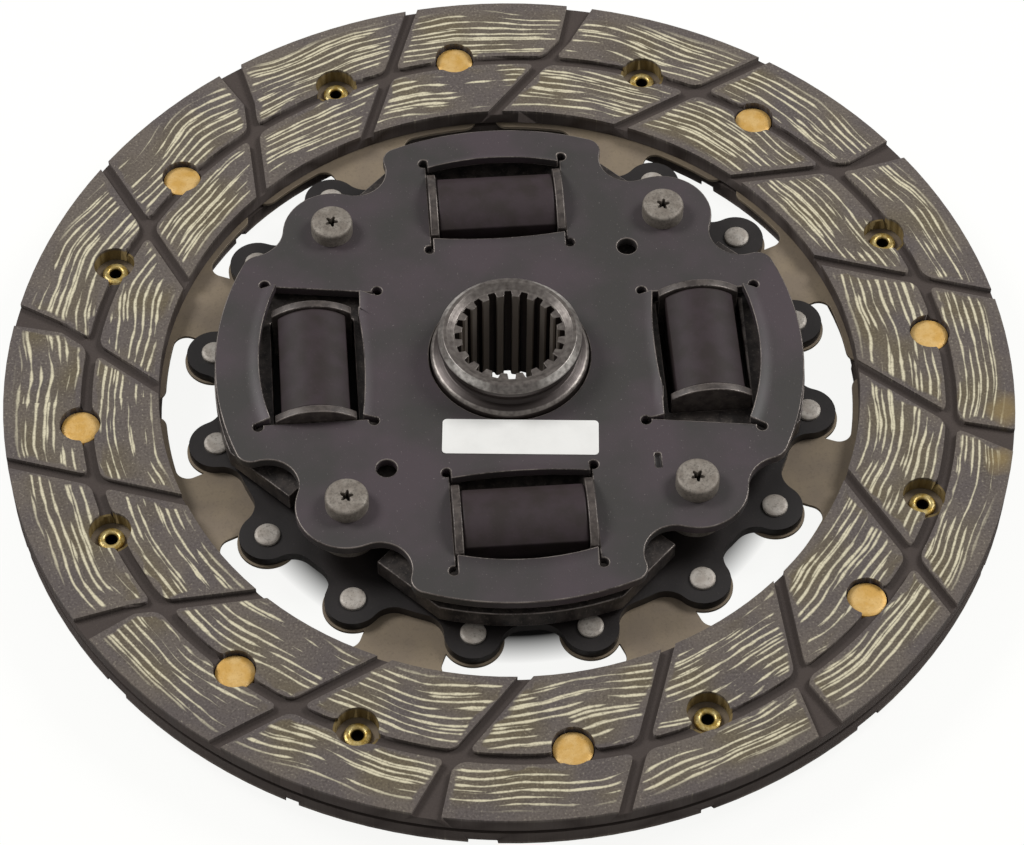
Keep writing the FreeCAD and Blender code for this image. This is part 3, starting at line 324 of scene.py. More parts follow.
# The other finishes: a ground colour, a second one in clouds, a third in flecks of fine grain. Sizes and relief are in
# millimetres, and no grain is finer than 0.4 mm, so that it shows. The flecks are given as the noise where they
# start, the noise where they are full, and their most.
finishes = {
    # phosphated and oiled pressed steel: satin near-black, purple-brown where the oil film is thicker
    "phosphatedSteel": {"ground": "#3d3a38", "cloud": "#4a4044", "fleck": "#8d8583", "cloudSize": 15, "grain": 0.4,
                        "flecks": (0.66, 0.74, 0.6), "relief": 0.02, "stretch": (1.3, 0.8, 1),
                        "gloss": {"Metallic": 0.1, "Roughness": 0.5}},
    # the carrier plate under it: the same bath, wet with oil, and painted near black as shade under the cover plate
    "oiledSteelAndShade": {"ground": "#1f1b1a", "cloud": "#282322", "fleck": "#4c4542", "cloudSize": 9, "grain": 0.4,
                   "flecks": (0.62, 0.78, 0.5), "relief": 0.02, "stretch": (1, 1, 1),
                   "gloss": {"Metallic": 0.1, "Roughness": 0.45}},
    # edges of the pressed plates, rubbed to a dull grey and painted lighter as a highlight
    "edgeWearAndHighlightSteel": {"ground": "#453e3b", "cloud": "#827973", "fleck": "#a39a93", "cloudSize": 5, "grain": 0.4,
                        "flecks": (0.5, 0.7, 0.6), "relief": 0.02, "stretch": (1, 1, 1),
                        "gloss": {"Metallic": 0.4, "Roughness": 0.4}},
    # sheared and phosphated hub flange: the same bath over a rough torn edge, painted darker as shade under the cover
    # plate
    "shearedSteelAndShade": {"ground": "#2b2624", "cloud": "#463f3b", "fleck": "#6f665f", "cloudSize": 2.2, "grain": 0.5,
                     "flecks": (0.55, 0.72, 0.6), "relief": 0.06, "stretch": (1, 1, 0.4),
                     "gloss": {"Metallic": 0.3, "Roughness": 0.5}},
    # spring steel tempered in oil: brown-grey, dull
    "temperedSpringSteel": {"ground": "#8f806b", "cloud": "#857766", "fleck": "#6b5f4f", "cloudSize": 8,
                            "grain": 0.5, "flecks": (0.52, 0.75, 0.45), "relief": 0.02, "stretch": (1, 1, 1),
                            "gloss": {"Metallic": 0.25, "Roughness": 0.55}},
    # cold-headed brass: matt gold, spotted by the punch
    "headedBrass": {"ground": "#d9ab59", "cloud": "#e6bf7a", "fleck": "#b58842", "cloudSize": 2.4, "grain": 0.4,
                    "flecks": (0.54, 0.74, 0.5), "relief": 0.04, "stretch": (1, 1, 1),
                    "gloss": {"Metallic": 0.35, "Roughness": 0.5}},
    # the same brass rolled over at the tail: yellower, bright on the roll, painted black down the bore as shade
    "rolledBrass": {"ground": "#bd9c4a", "cloud": "#e3cd8c", "fleck": "#7d6229", "cloudSize": 1.1, "grain": 0.4,
                    "flecks": (0.5, 0.72, 0.6), "relief": 0.04, "stretch": (1, 1, 1), "hollow": "#221a0c",
                    "gloss": {"Metallic": 0.55, "Roughness": 0.35}},
    # tumbled rivet steel: matt warm grey, grainy where the riveting die struck it
    "tumbledSteel": {"ground": "#aba298", "cloud": "#beb7ae", "fleck": "#70685f", "cloudSize": 1.8, "grain": 0.45,
                     "flecks": (0.5, 0.7, 0.7), "relief": 0.07, "stretch": (1, 1, 1),
                     "gloss": {"Metallic": 0.3, "Roughness": 0.52}},
    # upset stop pins: the same steel, darker and rougher, painted black down the star that the die leaves as shade
    "upsetPinSteel": {"ground": "#81786e", "cloud": "#958d83", "fleck": "#5c554d", "cloudSize": 1.8, "grain": 0.45,
                      "flecks": (0.46, 0.68, 0.75), "relief": 0.07, "stretch": (1, 1, 1), "hollow": "#1b1613",
                      "gloss": {"Metallic": 0.3, "Roughness": 0.55}},
    # moulded rubber: very dark brown, smooth skin with a soft sheen
    "mouldedRubber": {"ground": "#322a29", "cloud": "#3a3033", "fleck": "#4f4544", "cloudSize": 4, "grain": 0.5,
                      "flecks": (0.6, 0.8, 0.3), "relief": 0.01, "stretch": (1, 1, 1),
                      "gloss": {"Roughness": 0.55, "Specular IOR Level": 0.28}},
    # pressed seat steel: the same bath as the plates, painted lighter as a highlight for the light on the seats' top
    # edges
    "seatSteelPaintedHighlight": {"ground": "#423b38", "cloud": "#5a524d", "fleck": "#857c75", "cloudSize": 1.6, "grain": 0.4,
                        "flecks": (0.6, 0.75, 0.5), "relief": 0.02, "stretch": (1, 1, 1),
                        "gloss": {"Metallic": 0.2, "Roughness": 0.42}},
    # uncoated label paper: white, matt, left bare
    "labelPaper": {"ground": "#f4f3ef", "cloud": "#efeeea", "fleck": "#dcdbd6", "cloudSize": 4, "grain": 0.4,
                   "flecks": (0.6, 0.8, 0.3), "relief": 0.01, "stretch": (1, 1, 1),
                   "gloss": {"Roughness": 0.6}},
}
cloudBand = (0.38, 0.62)  # noise between which the ground colour turns into the cloud colour


def makeFinish(name):
    finish = finishes[name]
    material, tree, shader, place = newMaterial(name, finish["gloss"])
    stretched = addNode(tree, "ShaderNodeMapping", {"Vector": place, "Scale": finish["stretch"]})
    cloud = addNode(tree, noiseNode, {"Vector": place, "Scale": 1 / (finish["cloudSize"] * mm), "Detail": 3.0})
    grain = addNode(tree, noiseNode, {
        "Vector": stretched, "Scale": 1 / (finish["grain"] * mm), "Detail": 3.0, "Roughness": 0.65})
    low, high = cloudBand
    share = addNode(tree, rangeNode, {"Value": cloud, "From Min": low, "From Max": high})
    colour = addNode(tree, mixNode, {"data_type": "RGBA", 0: share, 6: finish["ground"], 7: finish["cloud"]}, 2)
    low, high, most = finish["flecks"]
    share = addNode(tree, rangeNode, {"Value": grain, "From Min": low, "From Max": high, "To Max": most})
    colour = addNode(tree, mixNode, {"data_type": "RGBA", 0: share, 6: colour, 7: finish["fleck"]}, 2)
    if "hollow" in finish:  # an attribute of the turned masters marks the inside of a bore or dimple, painted black there as shade
        inside = addNode(tree, "ShaderNodeAttribute", {"attribute_name": "hollow"}, "Fac")
        colour = addNode(tree, mixNode, {"data_type": "RGBA", 0: inside, 6: colour, 7: finish["hollow"]}, 2)
    tree.links.new(colour, shader.inputs["Base Color"])
    normal = addNode(tree, "ShaderNodeBump", {"Height": grain, "Distance": finish["relief"] * mm, "Strength": 0.8})
    tree.links.new(normal, shader.inputs["Normal"])
    return material


(phosphated, oiledAndShaded, edgeWearAndHighlight, shearedAndShaded, springSteel, brass, tailBrass, rivetSteel, pinSteel, rubber, seatSteel,
 paper) = (makeFinish(name) for name in finishes)

# Turned and broached hub steel: dark with oil in the neck and between the teeth, cut bright on the end face. Painted
# highlights on four sides of its chamfer and on the shoulder's edge, painted light on the tooth tips in the bore.
# Millimetres.
hubFinish = {
    "gloss": {"Metallic": 0.5, "Roughness": 0.33},
    "dark": "#3b3330",
    "body": "#4b4340",
    "bright": "#b3aba3",
    # colour of the painted highlight on the chamfer
    "paintedHighlight": "#f0eae2",
    # painted light on the tooth tips down the bore, where little lamp light reaches
    "teeth": "#a0968c",
    "feed": 0.25,  # pitch of the tool's rings, coarser than the real one so that they show
    "feedRoundTheHub": 60,
    "feedBand": (0.35, 0.65),
    "feedRelief": 0.03,
    "patchSize": 0.9,
    "patchBand": (0.3, 0.7, 0.3),
    "highlightBand": (0.6, 1.0, 0.12),  # painted highlight: the chamfer is painted bright on four sides
    # the bright bands, cut bright on the end face, painted highlights on the chamfer and on the shoulder's edge:
    # height, half of its width, its share, the radius where it starts, its colour
    "brightBands": ((25.9, 1.1, 0.4, 0.0, "bright"), (25.45, 0.7, 0.95, 12.3, "paintedHighlight"),
             (20.2, 0.25, 0.55, 14.1, "bright")),
    "bandFade": 0.25,
    "bandStart": 0.2,
    "toothTips": 9.35,
    "toothReach": 10.45,
    "toothTop": 25.0,
}


def makeHubSteel():
    material, tree, shader, place = newMaterial("turnedSteel", hubFinish["gloss"])
    x, y, z = (addNode(tree, splitNode, {0: place}, k) for k in (0, 1, 2))
    height = addNode(tree, mathNode, {"operation": "MULTIPLY", 0: z, 1: 1 / mm})
    around = hubFinish["feedRoundTheHub"]
    rings = addNode(tree, "ShaderNodeMapping", {
        "Vector": place, "Scale": (around, around, 1 / (hubFinish["feed"] * mm))})
    feed = addNode(tree, noiseNode, {"Vector": rings, "Scale": 1.0, "Detail": 2.0})
    patch = addNode(tree, noiseNode, {
        "Vector": place, "Scale": 1 / (hubFinish["patchSize"] * mm), "Detail": 3.0})
    low, high = hubFinish["feedBand"]
    share = addNode(tree, rangeNode, {"Value": feed, "From Min": low, "From Max": high})
    colour = addNode(tree, mixNode, {
        "data_type": "RGBA", 0: share, 6: hubFinish["dark"], 7: hubFinish["body"]}, 2)
    fromAxis = addNode(tree, vectorNode, {"operation": "MULTIPLY", 0: place, 1: (1 / mm, 1 / mm, 0)})
    fromAxis = addNode(tree, vectorNode, {"operation": "LENGTH", 0: fromAxis}, "Value")
    # painted highlight: the chamfer is painted bright on four sides, by the angle round the axis
    turn = addNode(tree, mathNode, {"operation": "ARCTAN2", 0: y, 1: x})
    turn = addNode(tree, mathNode, {"operation": "MULTIPLY", 0: turn, 1: 2.0})
    highlight = addNode(tree, mathNode, {"operation": "SINE", 0: turn})
    highlight = addNode(tree, mathNode, {"operation": "ABSOLUTE", 0: highlight})
    low, high, least = hubFinish["highlightBand"]
    highlight = addNode(tree, rangeNode, {"Value": highlight, "From Min": low, "From Max": high, "To Min": least})
    low, high, least = hubFinish["patchBand"]
    wear = addNode(tree, rangeNode, {"Value": patch, "From Min": low, "From Max": high, "To Min": least})
    fade, start = hubFinish["bandFade"], hubFinish["bandStart"]
    for level, reach, most, nearest, bright in hubFinish["brightBands"]:
        off = addNode(tree, mathNode, {"operation": "SUBTRACT", 0: height, 1: level})
        off = addNode(tree, mathNode, {"operation": "ABSOLUTE", 0: off})
        band = addNode(tree, rangeNode, {
            "Value": off, "From Min": reach, "From Max": reach + fade, "To Min": most, "To Max": 0.0})
        beyond = addNode(tree, rangeNode, {"Value": fromAxis, "From Min": nearest, "From Max": nearest + start})
        for mask in (beyond, wear, highlight) if bright == "paintedHighlight" else (beyond, wear):
            band = addNode(tree, mathNode, {"operation": "MULTIPLY", 0: band, 1: mask})
        colour = addNode(tree, mixNode, {"data_type": "RGBA", 0: band, 6: colour, 7: hubFinish[bright]}, 2)
    # painted light: down the bore the tooth tips are painted light
    bore = addNode(tree, mathNode, {"operation": "LESS_THAN", 0: fromAxis, 1: hubFinish["toothReach"]})
    below = addNode(tree, mathNode, {"operation": "LESS_THAN", 0: height, 1: hubFinish["toothTop"]})
    bore = addNode(tree, mathNode, {"operation": "MULTIPLY", 0: bore, 1: below})
    tips = addNode(tree, mathNode, {"operation": "LESS_THAN", 0: fromAxis, 1: hubFinish["toothTips"]})
    tooth = addNode(tree, mixNode, {"data_type": "RGBA", 0: tips, 6: hubFinish["dark"], 7: hubFinish["teeth"]}, 2)
    colour = addNode(tree, mixNode, {"data_type": "RGBA", 0: bore, 6: colour, 7: tooth}, 2)
    tree.links.new(colour, shader.inputs["Base Color"])
    normal = addNode(tree, "ShaderNodeBump", {
        "Height": feed, "Distance": hubFinish["feedRelief"] * mm, "Strength": 0.7})
    tree.links.new(normal, shader.inputs["Normal"])
    return material


hubSteel = makeHubSteel()
print("finishes mixed")


def dress(piece, body, *replaced):  # the piece rides on its body and stands for these solids
    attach(piece, body)
    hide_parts(*replaced)


def finishMesh(piece):  # what the modifiers make becomes the piece's own mesh
    finished = bpy.data.meshes.new_from_object(piece.evaluated_get(bpy.context.evaluated_depsgraph_get()))
    piece.modifiers.clear()
    piece.data = finished


# Widths of the edges that press, mould and lathe leave broken, in millimetres, and how they are made
brokenEdges = {"facing": 0.35, "plate": 0.22, "seat": 0.2, "hub": 0.15, "segment": 0.12, "flange": 0.2, "block": 0.1}
edgeWork = {
    "steps": 2,
    "sharpFrom": 32,  # degrees between two faces
    "flatUpTo": 1,
    "merge": 0.03,
    "clamped": ("front_facing", "rear_facing", "carrier_plate", "hub"),  # some edges are too short for the full width
    "clampedMerge": 0.002,
}
padCorners = {
    "between": (68.0, 93.0),  # radii, so that the corners at bore and rim stay
    "round": 1.5,
    "steps": 4,
    "plumb": 0.01,
    "leastHeight": 0.5,
    "leastTurn": 40,
}


def roundPads(mesh):  # the moulded corners of the lining's pads
    inner, outer = (radius * mm for radius in padCorners["between"])
    corners = []
    for side in mesh.edges:
        first, last = (v.co for v in side.verts)
        upright = (first.xy - last.xy).length < padCorners["plumb"] * mm
        tall = abs(first.z - last.z) > padCorners["leastHeight"] * mm
        if upright and tall and side.is_convex and inner < ((first + last) / 2).xy.length < outer:
            if side.calc_face_angle() > math.radians(padCorners["leastTurn"]):
                corners.append(side)
    bmesh.ops.bevel(mesh, geom=corners, offset=padCorners["round"] * mm, segments=padCorners["steps"],
                    profile=0.5, affect="EDGES", clamp_overlap=False)


# Makes a copy of a solid with its sharp edges broken; the last argument is the finish of those edges where they have
# their own, rubbed grey with a painted highlight
def breakEdges(name, node, kind, material, pads=False, wearAndHighlight=None):
    clamp = node in edgeWork["clamped"]
    piece = bpy.data.objects.new(name, nodes[node].data.copy())
    scene.collection.objects.link(piece)
    mesh = bmesh.new()
    mesh.from_mesh(piece.data)
    bmesh.ops.remove_doubles(mesh, verts=mesh.verts, dist=edgeWork["clampedMerge" if clamp else "merge"] * mm)
    bmesh.ops.dissolve_limit(
        mesh, angle_limit=math.radians(edgeWork["flatUpTo"]), verts=mesh.verts, edges=mesh.edges)
    if pads:
        roundPads(mesh)
    mesh.to_mesh(piece.data)
    mesh.free()
    piece.data.shade_smooth()
    piece.data.materials.clear()
    piece.data.materials.append(material)
    if wearAndHighlight:
        piece.data.materials.append(wearAndHighlight)
    bevel = piece.modifiers.new("brokenEdges", "BEVEL")
    bevel.width = brokenEdges[kind] * mm
    bevel.segments = edgeWork["steps"]
    bevel.limit_method = "ANGLE"
    bevel.angle_limit = math.radians(edgeWork["sharpFrom"])
    bevel.miter_outer = "MITER_ARC"
    bevel.material = 1 if wearAndHighlight else -1
    bevel.use_clamp_overlap = clamp
    flatFaces = piece.modifiers.new("flatFaces", "WEIGHTED_NORMAL")
    flatFaces.mode = "FACE_AREA"
    flatFaces.weight = 100
    finishMesh(piece)
    dress(piece, nodes[node]["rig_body"], node)
    return piece


breakEdges("frontFacing", "front_facing", "facing", frontLining, pads=True)
breakEdges("rearFacing", "rear_facing", "facing", rearLining, pads=True)
coverPlate = breakEdges("coverPlate", "cover_plate", "plate", phosphated, wearAndHighlight=edgeWearAndHighlight)
dent = {"middle": (25.33, -25.86), "reach": 2.0, "under": 18.3, "faceUp": 0.5, "slot": 2}  # its floor is painted near black as shade in the dent
coverPlate.data.materials.append(oiledAndShaded)
for face in coverPlate.data.polygons:
    offset = face.center.xy - Vector(dent["middle"]) * mm
    sunkShade = face.center.z < dent["under"] * mm and face.normal.z > dent["faceUp"]
    if sunkShade and offset.length < dent["reach"] * mm:
        face.material_index = dent["slot"]
breakEdges("carrierPlate", "carrier_plate", "plate", oiledAndShaded)
breakEdges("hubFlange", "hub_flange", "flange", shearedAndShaded, wearAndHighlight=edgeWearAndHighlight)
breakEdges("splinedHub", "hub", "hub", hubSteel)
for k in range(1, 9):
    breakEdges(f"cushionSegment{k}", f"cushion_segment_{k}", "segment", springSteel)
print("facings, plates, hub and segments finished")

# Torsion blocks and seats, each given a mesh of its own
for k in range(1, 5):
    pieces = [breakEdges(f"torsionBlock{k}", f"damper_block_{k}", "block", rubber)]
    for end in (2 * k - 1, 2 * k):
        pieces.append(breakEdges(f"blockSeat{end}", f"damper_seat_{end}", "seat", seatSteel, wearAndHighlight=edgeWearAndHighlight))
    for piece in pieces:
        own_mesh(piece)
print("torsion blocks and seats finished")

# Rivets and pins: each master is turned about its own axis, then a node tree sets it round the disc
lathe = {"steps": 40, "sharpFrom": 38}  # faces round a master, and degrees between faces that meet in a sharp edge


# The profile's points are radius, height and, with lobes, how far these swell; the last few may be inside a bore,
# which the finish paints black as shade
def turnedMaster(name, profile, inside=0, lobes=0):
    mesh = bmesh.new()
    hollow = mesh.verts.layers.float.new("hollow")
    steps = lathe["steps"]
    rings = []
    for radius, height, *swell in profile:
        if radius == 0:
            rings.append([mesh.verts.new((0, 0, height * mm))] * steps)
            rings[-1][0][hollow] = float(len(rings) > len(profile) - inside)
            continue
        ring = []
        for k in range(steps):
            angle = 2 * math.pi * k / steps
            reach = (radius + (swell[0] * math.cos(lobes * angle) if swell else 0)) * mm
            ring.append(mesh.verts.new((reach * math.cos(angle), reach * math.sin(angle), height * mm)))
            ring[-1][hollow] = float(len(rings) >= len(profile) - inside)
        rings.append(ring)
    for low, high in zip(rings, rings[1:]):
        for k in range(steps):
            corners = [low[k], low[(k + 1) % steps], high[(k + 1) % steps], high[k]]
            corners = list(dict.fromkeys(corners))
            if len(corners) > 2:
                mesh.faces.new(corners)
    bmesh.ops.recalc_face_normals(mesh, faces=mesh.faces)
    data = bpy.data.meshes.new(name)
    mesh.to_mesh(data)
    mesh.free()
    data.shade_smooth()
    data.set_sharp_from_angle(angle=math.radians(lathe["sharpFrom"]))
    piece = bpy.data.objects.new(name, data)
    scene.collection.objects.link(piece)
    return piece


def setRound(piece, material, ring):  # node tree: copies of the master round the disc's axis
    tree = bpy.data.node_groups.new(piece.name + "Ring", "GeometryNodeTree")
    tree.interface.new_socket("Geometry", in_out="INPUT", socket_type="NodeSocketGeometry")
    for title, value in ring.items():
        kind = "NodeSocketInt" if isinstance(value, int) else "NodeSocketFloat"
        tree.interface.new_socket(title, in_out="INPUT", socket_type=kind)
    tree.interface.new_socket("Geometry", in_out="OUTPUT", socket_type="NodeSocketGeometry")
    given = tree.nodes.new("NodeGroupInput").outputs
    points = addNode(tree, "GeometryNodePoints", {"Count": given["Count"]})
    index = addNode(tree, "GeometryNodeInputIndex", {})
    share = addNode(tree, mathNode, {"operation": "DIVIDE", 0: index, 1: given["Group Size"]})
    group = addNode(tree, mathNode, {"operation": "FLOOR", 0: share})
    member = addNode(tree, mathNode, {"operation": "MODULO", 0: index, 1: given["Group Size"]})
    angle = addNode(tree, mathNode, {
        "operation": "MULTIPLY_ADD", 0: group, 1: given["Group Step"], 2: given["First Angle"]})
    angle = addNode(tree, mathNode, {
        "operation": "MULTIPLY_ADD", 0: member, 1: given["Step In Group"], 2: angle})
    turn = addNode(tree, mathNode, {"operation": "RADIANS", 0: angle})
    spoke = addNode(tree, joinNode, {0: given["Circle Radius"], 1: 0.0, 2: 0.0})
    spot = addNode(tree, "ShaderNodeVectorRotate", {"rotation_type": "Z_AXIS", "Vector": spoke, "Angle": turn})
    points = addNode(tree, "GeometryNodeSetPosition", {"Geometry": points, "Position": spot})
    chance = addNode(tree, "FunctionNodeRandomValue", {"Min": 0.0, 3: 2 * math.pi, "Seed": given["Seed"]}, 1)
    stance = addNode(tree, joinNode, {0: 0.0, 1: 0.0, 2: chance})
    copies = addNode(tree, "GeometryNodeInstanceOnPoints", {
        "Points": points, "Instance": given["Geometry"], "Rotation": stance})
    solid = addNode(tree, "GeometryNodeRealizeInstances", {"Geometry": copies})
    coated = addNode(tree, "GeometryNodeSetMaterial", {"Geometry": solid, "Material": material})
    tree.links.new(coated, tree.nodes.new("NodeGroupOutput").inputs["Geometry"])
    modifier = piece.modifiers.new("ring", "NODES")
    modifier.node_group = tree
    for item in tree.interface.items_tree:
        if item.in_out == "INPUT" and item.name in ring:
            modifier[item.identifier] = ring[item.name]
    finishMesh(piece)
    return piece


def eased(radius, height, steps):  # points of an eased corner: each step is how far in and how far up or down
    return [(radius - inward, height + up) for inward, up in steps]


facingRivet = {
    "middle": 7.9,  # the rear rivets are the front ones turned over at this height
    "headTop": 10.7,
    "headFoot": 9.5,
    "head": 3.65,
    "headEdge": ((1.0, 0), (0.35, -0.06), (0.08, -0.2), (0, -0.42)),
    "shank": 2.1,
    "tail": 2.5,
    "tailFoot": 7.55,
    "tailEnd": 6.65,
    "tailShoulder": ((0.1, 0), (0, -0.25)),
    "tailRoll": ((0.1, 0.22), (0.4, 0.04)),
    "bore": 1.1,
    "boreRoll": ((-0.5, 0), (-0.2, 0.14), (0, 0.5)),
    "boreFloor": 9.1,
}
r = facingRivet
facingRivetProfile = [
    (0, r["headTop"]), *eased(r["head"], r["headTop"], r["headEdge"]), (r["head"], r["headFoot"]),
    (r["shank"], r["headFoot"]), (r["shank"], r["tailFoot"]),
    *eased(r["tail"], r["tailFoot"], r["tailShoulder"]), *eased(r["tail"], r["tailEnd"], r["tailRoll"]),
    *eased(r["bore"], r["tailEnd"], r["boreRoll"]), (r["bore"], r["boreFloor"]), (0, r["boreFloor"]),
]
turnedOverProfile = [(radius, 2 * r["middle"] - height) for radius, height in facingRivetProfile]
facingRing = {"Count": 8, "Group Size": 1, "Circle Radius": 80.8 * mm, "First Angle": 3.75, "Group Step": 45.0,
              "Step In Group": 0.0, "Seed": 3}
rearRing = {**facingRing, "First Angle": 21.5, "Seed": 5}
frontRivets = setRound(turnedMaster("frontFacingRivets", facingRivetProfile), brass, facingRing)
dress(frontRivets, "disc", "front_facing_rivets")
rearRivets = setRound(turnedMaster("rearFacingRivets", turnedOverProfile, inside=3), tailBrass, rearRing)
dress(rearRivets, "disc", "rear_facing_rivets")

segmentRivet = {
    "low": 6.8,
    "lowFoot": 7.55,
    "highFoot": 10.25,
    "high": 11.0,
    "head": 2.35,
    "lowEdge": ((0.7, 0.02), (0.25, 0.08), (0, 0.3)),
    "highEdge": ((0, -0.3), (0.25, -0.08), (0.7, -0.02)),
    "shank": 1.6,
}
r = segmentRivet
segmentRivetProfile = [
    (0, r["low"]), *eased(r["head"], r["low"], r["lowEdge"]), (r["head"], r["lowFoot"]),
    (r["shank"], r["lowFoot"]), (r["shank"], r["highFoot"]),
    (r["head"], r["highFoot"]), *eased(r["head"], r["high"], r["highEdge"]), (0, r["high"]),
]
segmentRing = {"Count": 16, "Group Size": 2, "Circle Radius": 56.4 * mm, "First Angle": 10.8, "Group Step": 45.0,
               "Step In Group": 23.4, "Seed": 7}
segmentRivets = setRound(turnedMaster("segmentRivets", segmentRivetProfile), rivetSteel, segmentRing)
dress(segmentRivets, "disc", "segment_rivets")

stopPin = {
    "low": 5.25,
    "carrierFoot": 8.25,
    "carrierTop": 10.25,
    "coverFoot": 16.9,
    "coverTop": 18.9,
    "high": 21.9,
    "head": 3.97,
    "lowEdge": ((0.6, 0), (0.25, 0.08), (0.06, 0.25), (0, 0.55)),
    "highEdge": ((0, -0.6), (0.08, -0.28), (0.3, -0.08), (0.75, 0)),
    "shank": 3.2,
    "spacer": 5.7,
    # the star that the die leaves in the head: radius, depth and swell of its points
    "star": ((1.25, 0, 0.34), (1.0, 0.12, 0.34), (0.65, 1.8, 0.204), (0, 1.8, 0)),
    "lobes": 5,
}
r = stopPin
stopPinProfile = [
    (0, r["low"]), *eased(r["head"], r["low"], r["lowEdge"]), (r["head"], r["carrierFoot"]),
    (r["shank"], r["carrierFoot"]), (r["shank"], r["carrierTop"]),
    (r["spacer"], r["carrierTop"]), (r["spacer"], r["coverFoot"]),
    (r["shank"], r["coverFoot"]), (r["shank"], r["coverTop"]),
    (r["head"], r["coverTop"]), *eased(r["head"], r["high"], r["highEdge"]),
    *((radius, r["high"] - depth, swell) for radius, depth, swell in r["star"]),
]
pinRing = {"Count": 4, "Group Size": 1, "Circle Radius": 45.0 * mm, "First Angle": 45.0, "Group Step": 90.0,
           "Step In Group": 0.0, "Seed": 11}
stopPins = setRound(turnedMaster("stopPins", stopPinProfile, inside=2, lobes=r["lobes"]), pinSteel, pinRing)
dress(stopPins, "disc", "stop_pin_1", "stop_pin_2", "stop_pin_3", "stop_pin_4")
print("rivets and pins set")

# Solids whose shape is right as it is get their finish
for node, material in (("friction_ring_rear", rubber), ("friction_ring_front", rubber), ("disc_spring", springSteel),
                       ("label", paper)):
    for slot in nodes[node].material_slots:
        slot.material = material
    if not nodes[node].material_slots:
        nodes[node].data.materials.append(material)

# Floor, light and camera. To the camera the floor glows, apart from a painted shadow on the ring between the bore and
# the plates' rim.
studio = {
    "floorSide": 6.0,
    "floorLevel": -0.02,
    "floorColour": "#d8d8d6",
    "seenColour": "#fdfdfb",
    "seenGlow": 0.93,
    "shadowColour": (0.1, 0.1, 0.1, 1),
    "underBore": (11, 15),  # millimetres from the axis over which the glow ends, and starts again; between them the floor is a painted shadow
    "pastPlates": (50, 56),
    "skyLevel": 0.30,
    "lampPower": 6.5,
    "lampSize": 0.45,
    "lamps": {"leftLamp": (-0.72, 0.38, 0.86), "rightLamp": (0.78, 0.30, 0.82)},
}
floorMesh = bpy.data.meshes.new("floor")
half = studio["floorSide"] / 2
level = studio["floorLevel"] * mm
floorMesh.from_pydata([(-half, -half, level), (half, -half, level), (half, half, level), (-half, half, level)],
                      [], [(0, 1, 2, 3)])
floor = bpy.data.objects.new("floor", floorMesh)
scene.collection.objects.link(floor)
floorMaterial, floorTree, floorShader, floorPlace = newMaterial("paleStudioFloor", {"Roughness": 0.9})
floorShader.inputs["Base Color"].default_value = linear(studio["floorColour"])
# painted shadow: the glow is taken away from 15 to 50 mm from the axis, under the disc's plates
fromAxis = addNode(floorTree, vectorNode, {"operation": "LENGTH", 0: floorPlace}, "Value")
low, high = (radius * mm for radius in studio["underBore"])
underBore = addNode(floorTree, rangeNode, {
    "Value": fromAxis, "From Min": low, "From Max": high, "To Min": 1.0, "To Max": 0.0})
low, high = (radius * mm for radius in studio["pastPlates"])
pastPlates = addNode(floorTree, rangeNode, {"Value": fromAxis, "From Min": low, "From Max": high})
lit = addNode(floorTree, mathNode, {"operation": "MAXIMUM", 0: underBore, 1: pastPlates})
lit = addNode(floorTree, mathNode, {"operation": "MULTIPLY", 0: lit, 1: studio["seenGlow"]})
glow = addNode(floorTree, "ShaderNodeEmission", {"Color": studio["seenColour"], "Strength": lit})
shade = addNode(floorTree, "ShaderNodeBsdfDiffuse", {"Color": studio["shadowColour"]})
seenFloor = addNode(floorTree, "ShaderNodeAddShader", {0: glow, 1: shade})
cameraRay = addNode(floorTree, "ShaderNodeLightPath", {}, "Is Camera Ray")
chosen = addNode(floorTree, "ShaderNodeMixShader", {0: cameraRay, 1: floorShader.outputs[0], 2: seenFloor})
floorTree.links.new(chosen, floorTree.nodes["Material Output"].inputs["Surface"])
floor.data.materials.append(floorMaterial)

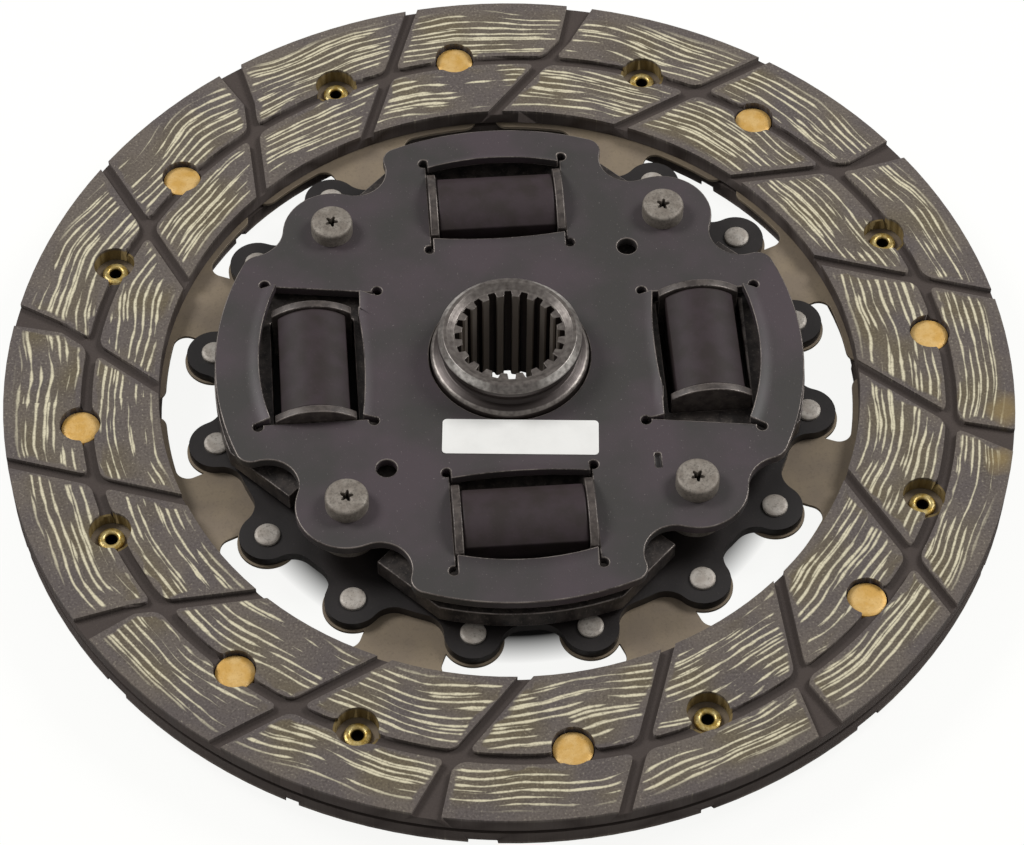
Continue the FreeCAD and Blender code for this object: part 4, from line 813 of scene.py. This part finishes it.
world = bpy.data.worlds.new("studioSky")
scene.world = world
world.use_nodes = True
sky = world.node_tree
sky.nodes.clear()
dim = addNode(sky, "ShaderNodeBackground", {"Color": (1, 1, 1, 1), "Strength": studio["skyLevel"]})
white = addNode(sky, "ShaderNodeBackground", {"Color": studio["seenColour"], "Strength": 1.0})
cameraRay = addNode(sky, "ShaderNodeLightPath", {}, "Is Camera Ray")
mixed = addNode(sky, "ShaderNodeMixShader", {0: cameraRay, 1: dim, 2: white})
sky.links.new(mixed, sky.nodes.new("ShaderNodeOutputWorld").inputs["Surface"])

for name, place in studio["lamps"].items():
    light = bpy.data.lights.new(name, "AREA")
    light.shape = "DISK"
    light.size = studio["lampSize"]
    light.energy = studio["lampPower"]
    lamp = bpy.data.objects.new(name, light)
    scene.collection.objects.link(lamp)
    lamp.location = place
    lamp.rotation_euler = (-Vector(place)).to_track_quat("-Z", "Y").to_euler()

view = {"azimuth": -4.65, "elevation": 54.35, "roll": 0.55, "distance": 640.57 * mm, "across": 0.55 * mm,
        "up": -6.30 * mm, "middle": 7.9 * mm, "focalPixels": 3383.2, "pictureWidth": 1024, "sensorWidth": 36,
        "nearest": 0.05, "farthest": 20}
azimuth, elevation, roll = (math.radians(view[name]) for name in ("azimuth", "elevation", "roll"))
back = Vector((math.sin(azimuth) * math.cos(elevation), -math.cos(azimuth) * math.cos(elevation),
               math.sin(elevation)))
right = Vector((math.cos(azimuth), math.sin(azimuth), 0))
up = back.cross(right)
place = right * view["across"] + up * view["up"] + back * view["distance"] + Vector((0, 0, view["middle"]))
rolledRight = right * math.cos(roll) + up * math.sin(roll)
rolledUp = up * math.cos(roll) - right * math.sin(roll)
cameraData = bpy.data.cameras.new("camera")
cameraData.sensor_width = view["sensorWidth"]
cameraData.lens = view["focalPixels"] * view["sensorWidth"] / view["pictureWidth"]
cameraData.clip_start = view["nearest"]
cameraData.clip_end = view["farthest"]
camera = bpy.data.objects.new("camera", cameraData)
scene.collection.objects.link(camera)
stance = Matrix((rolledRight, rolledUp, back)).transposed()
camera.matrix_world = Matrix.Translation(place) @ stance.to_4x4()
scene.camera = camera
scene.view_settings.view_transform = "Standard"
print("studio set")
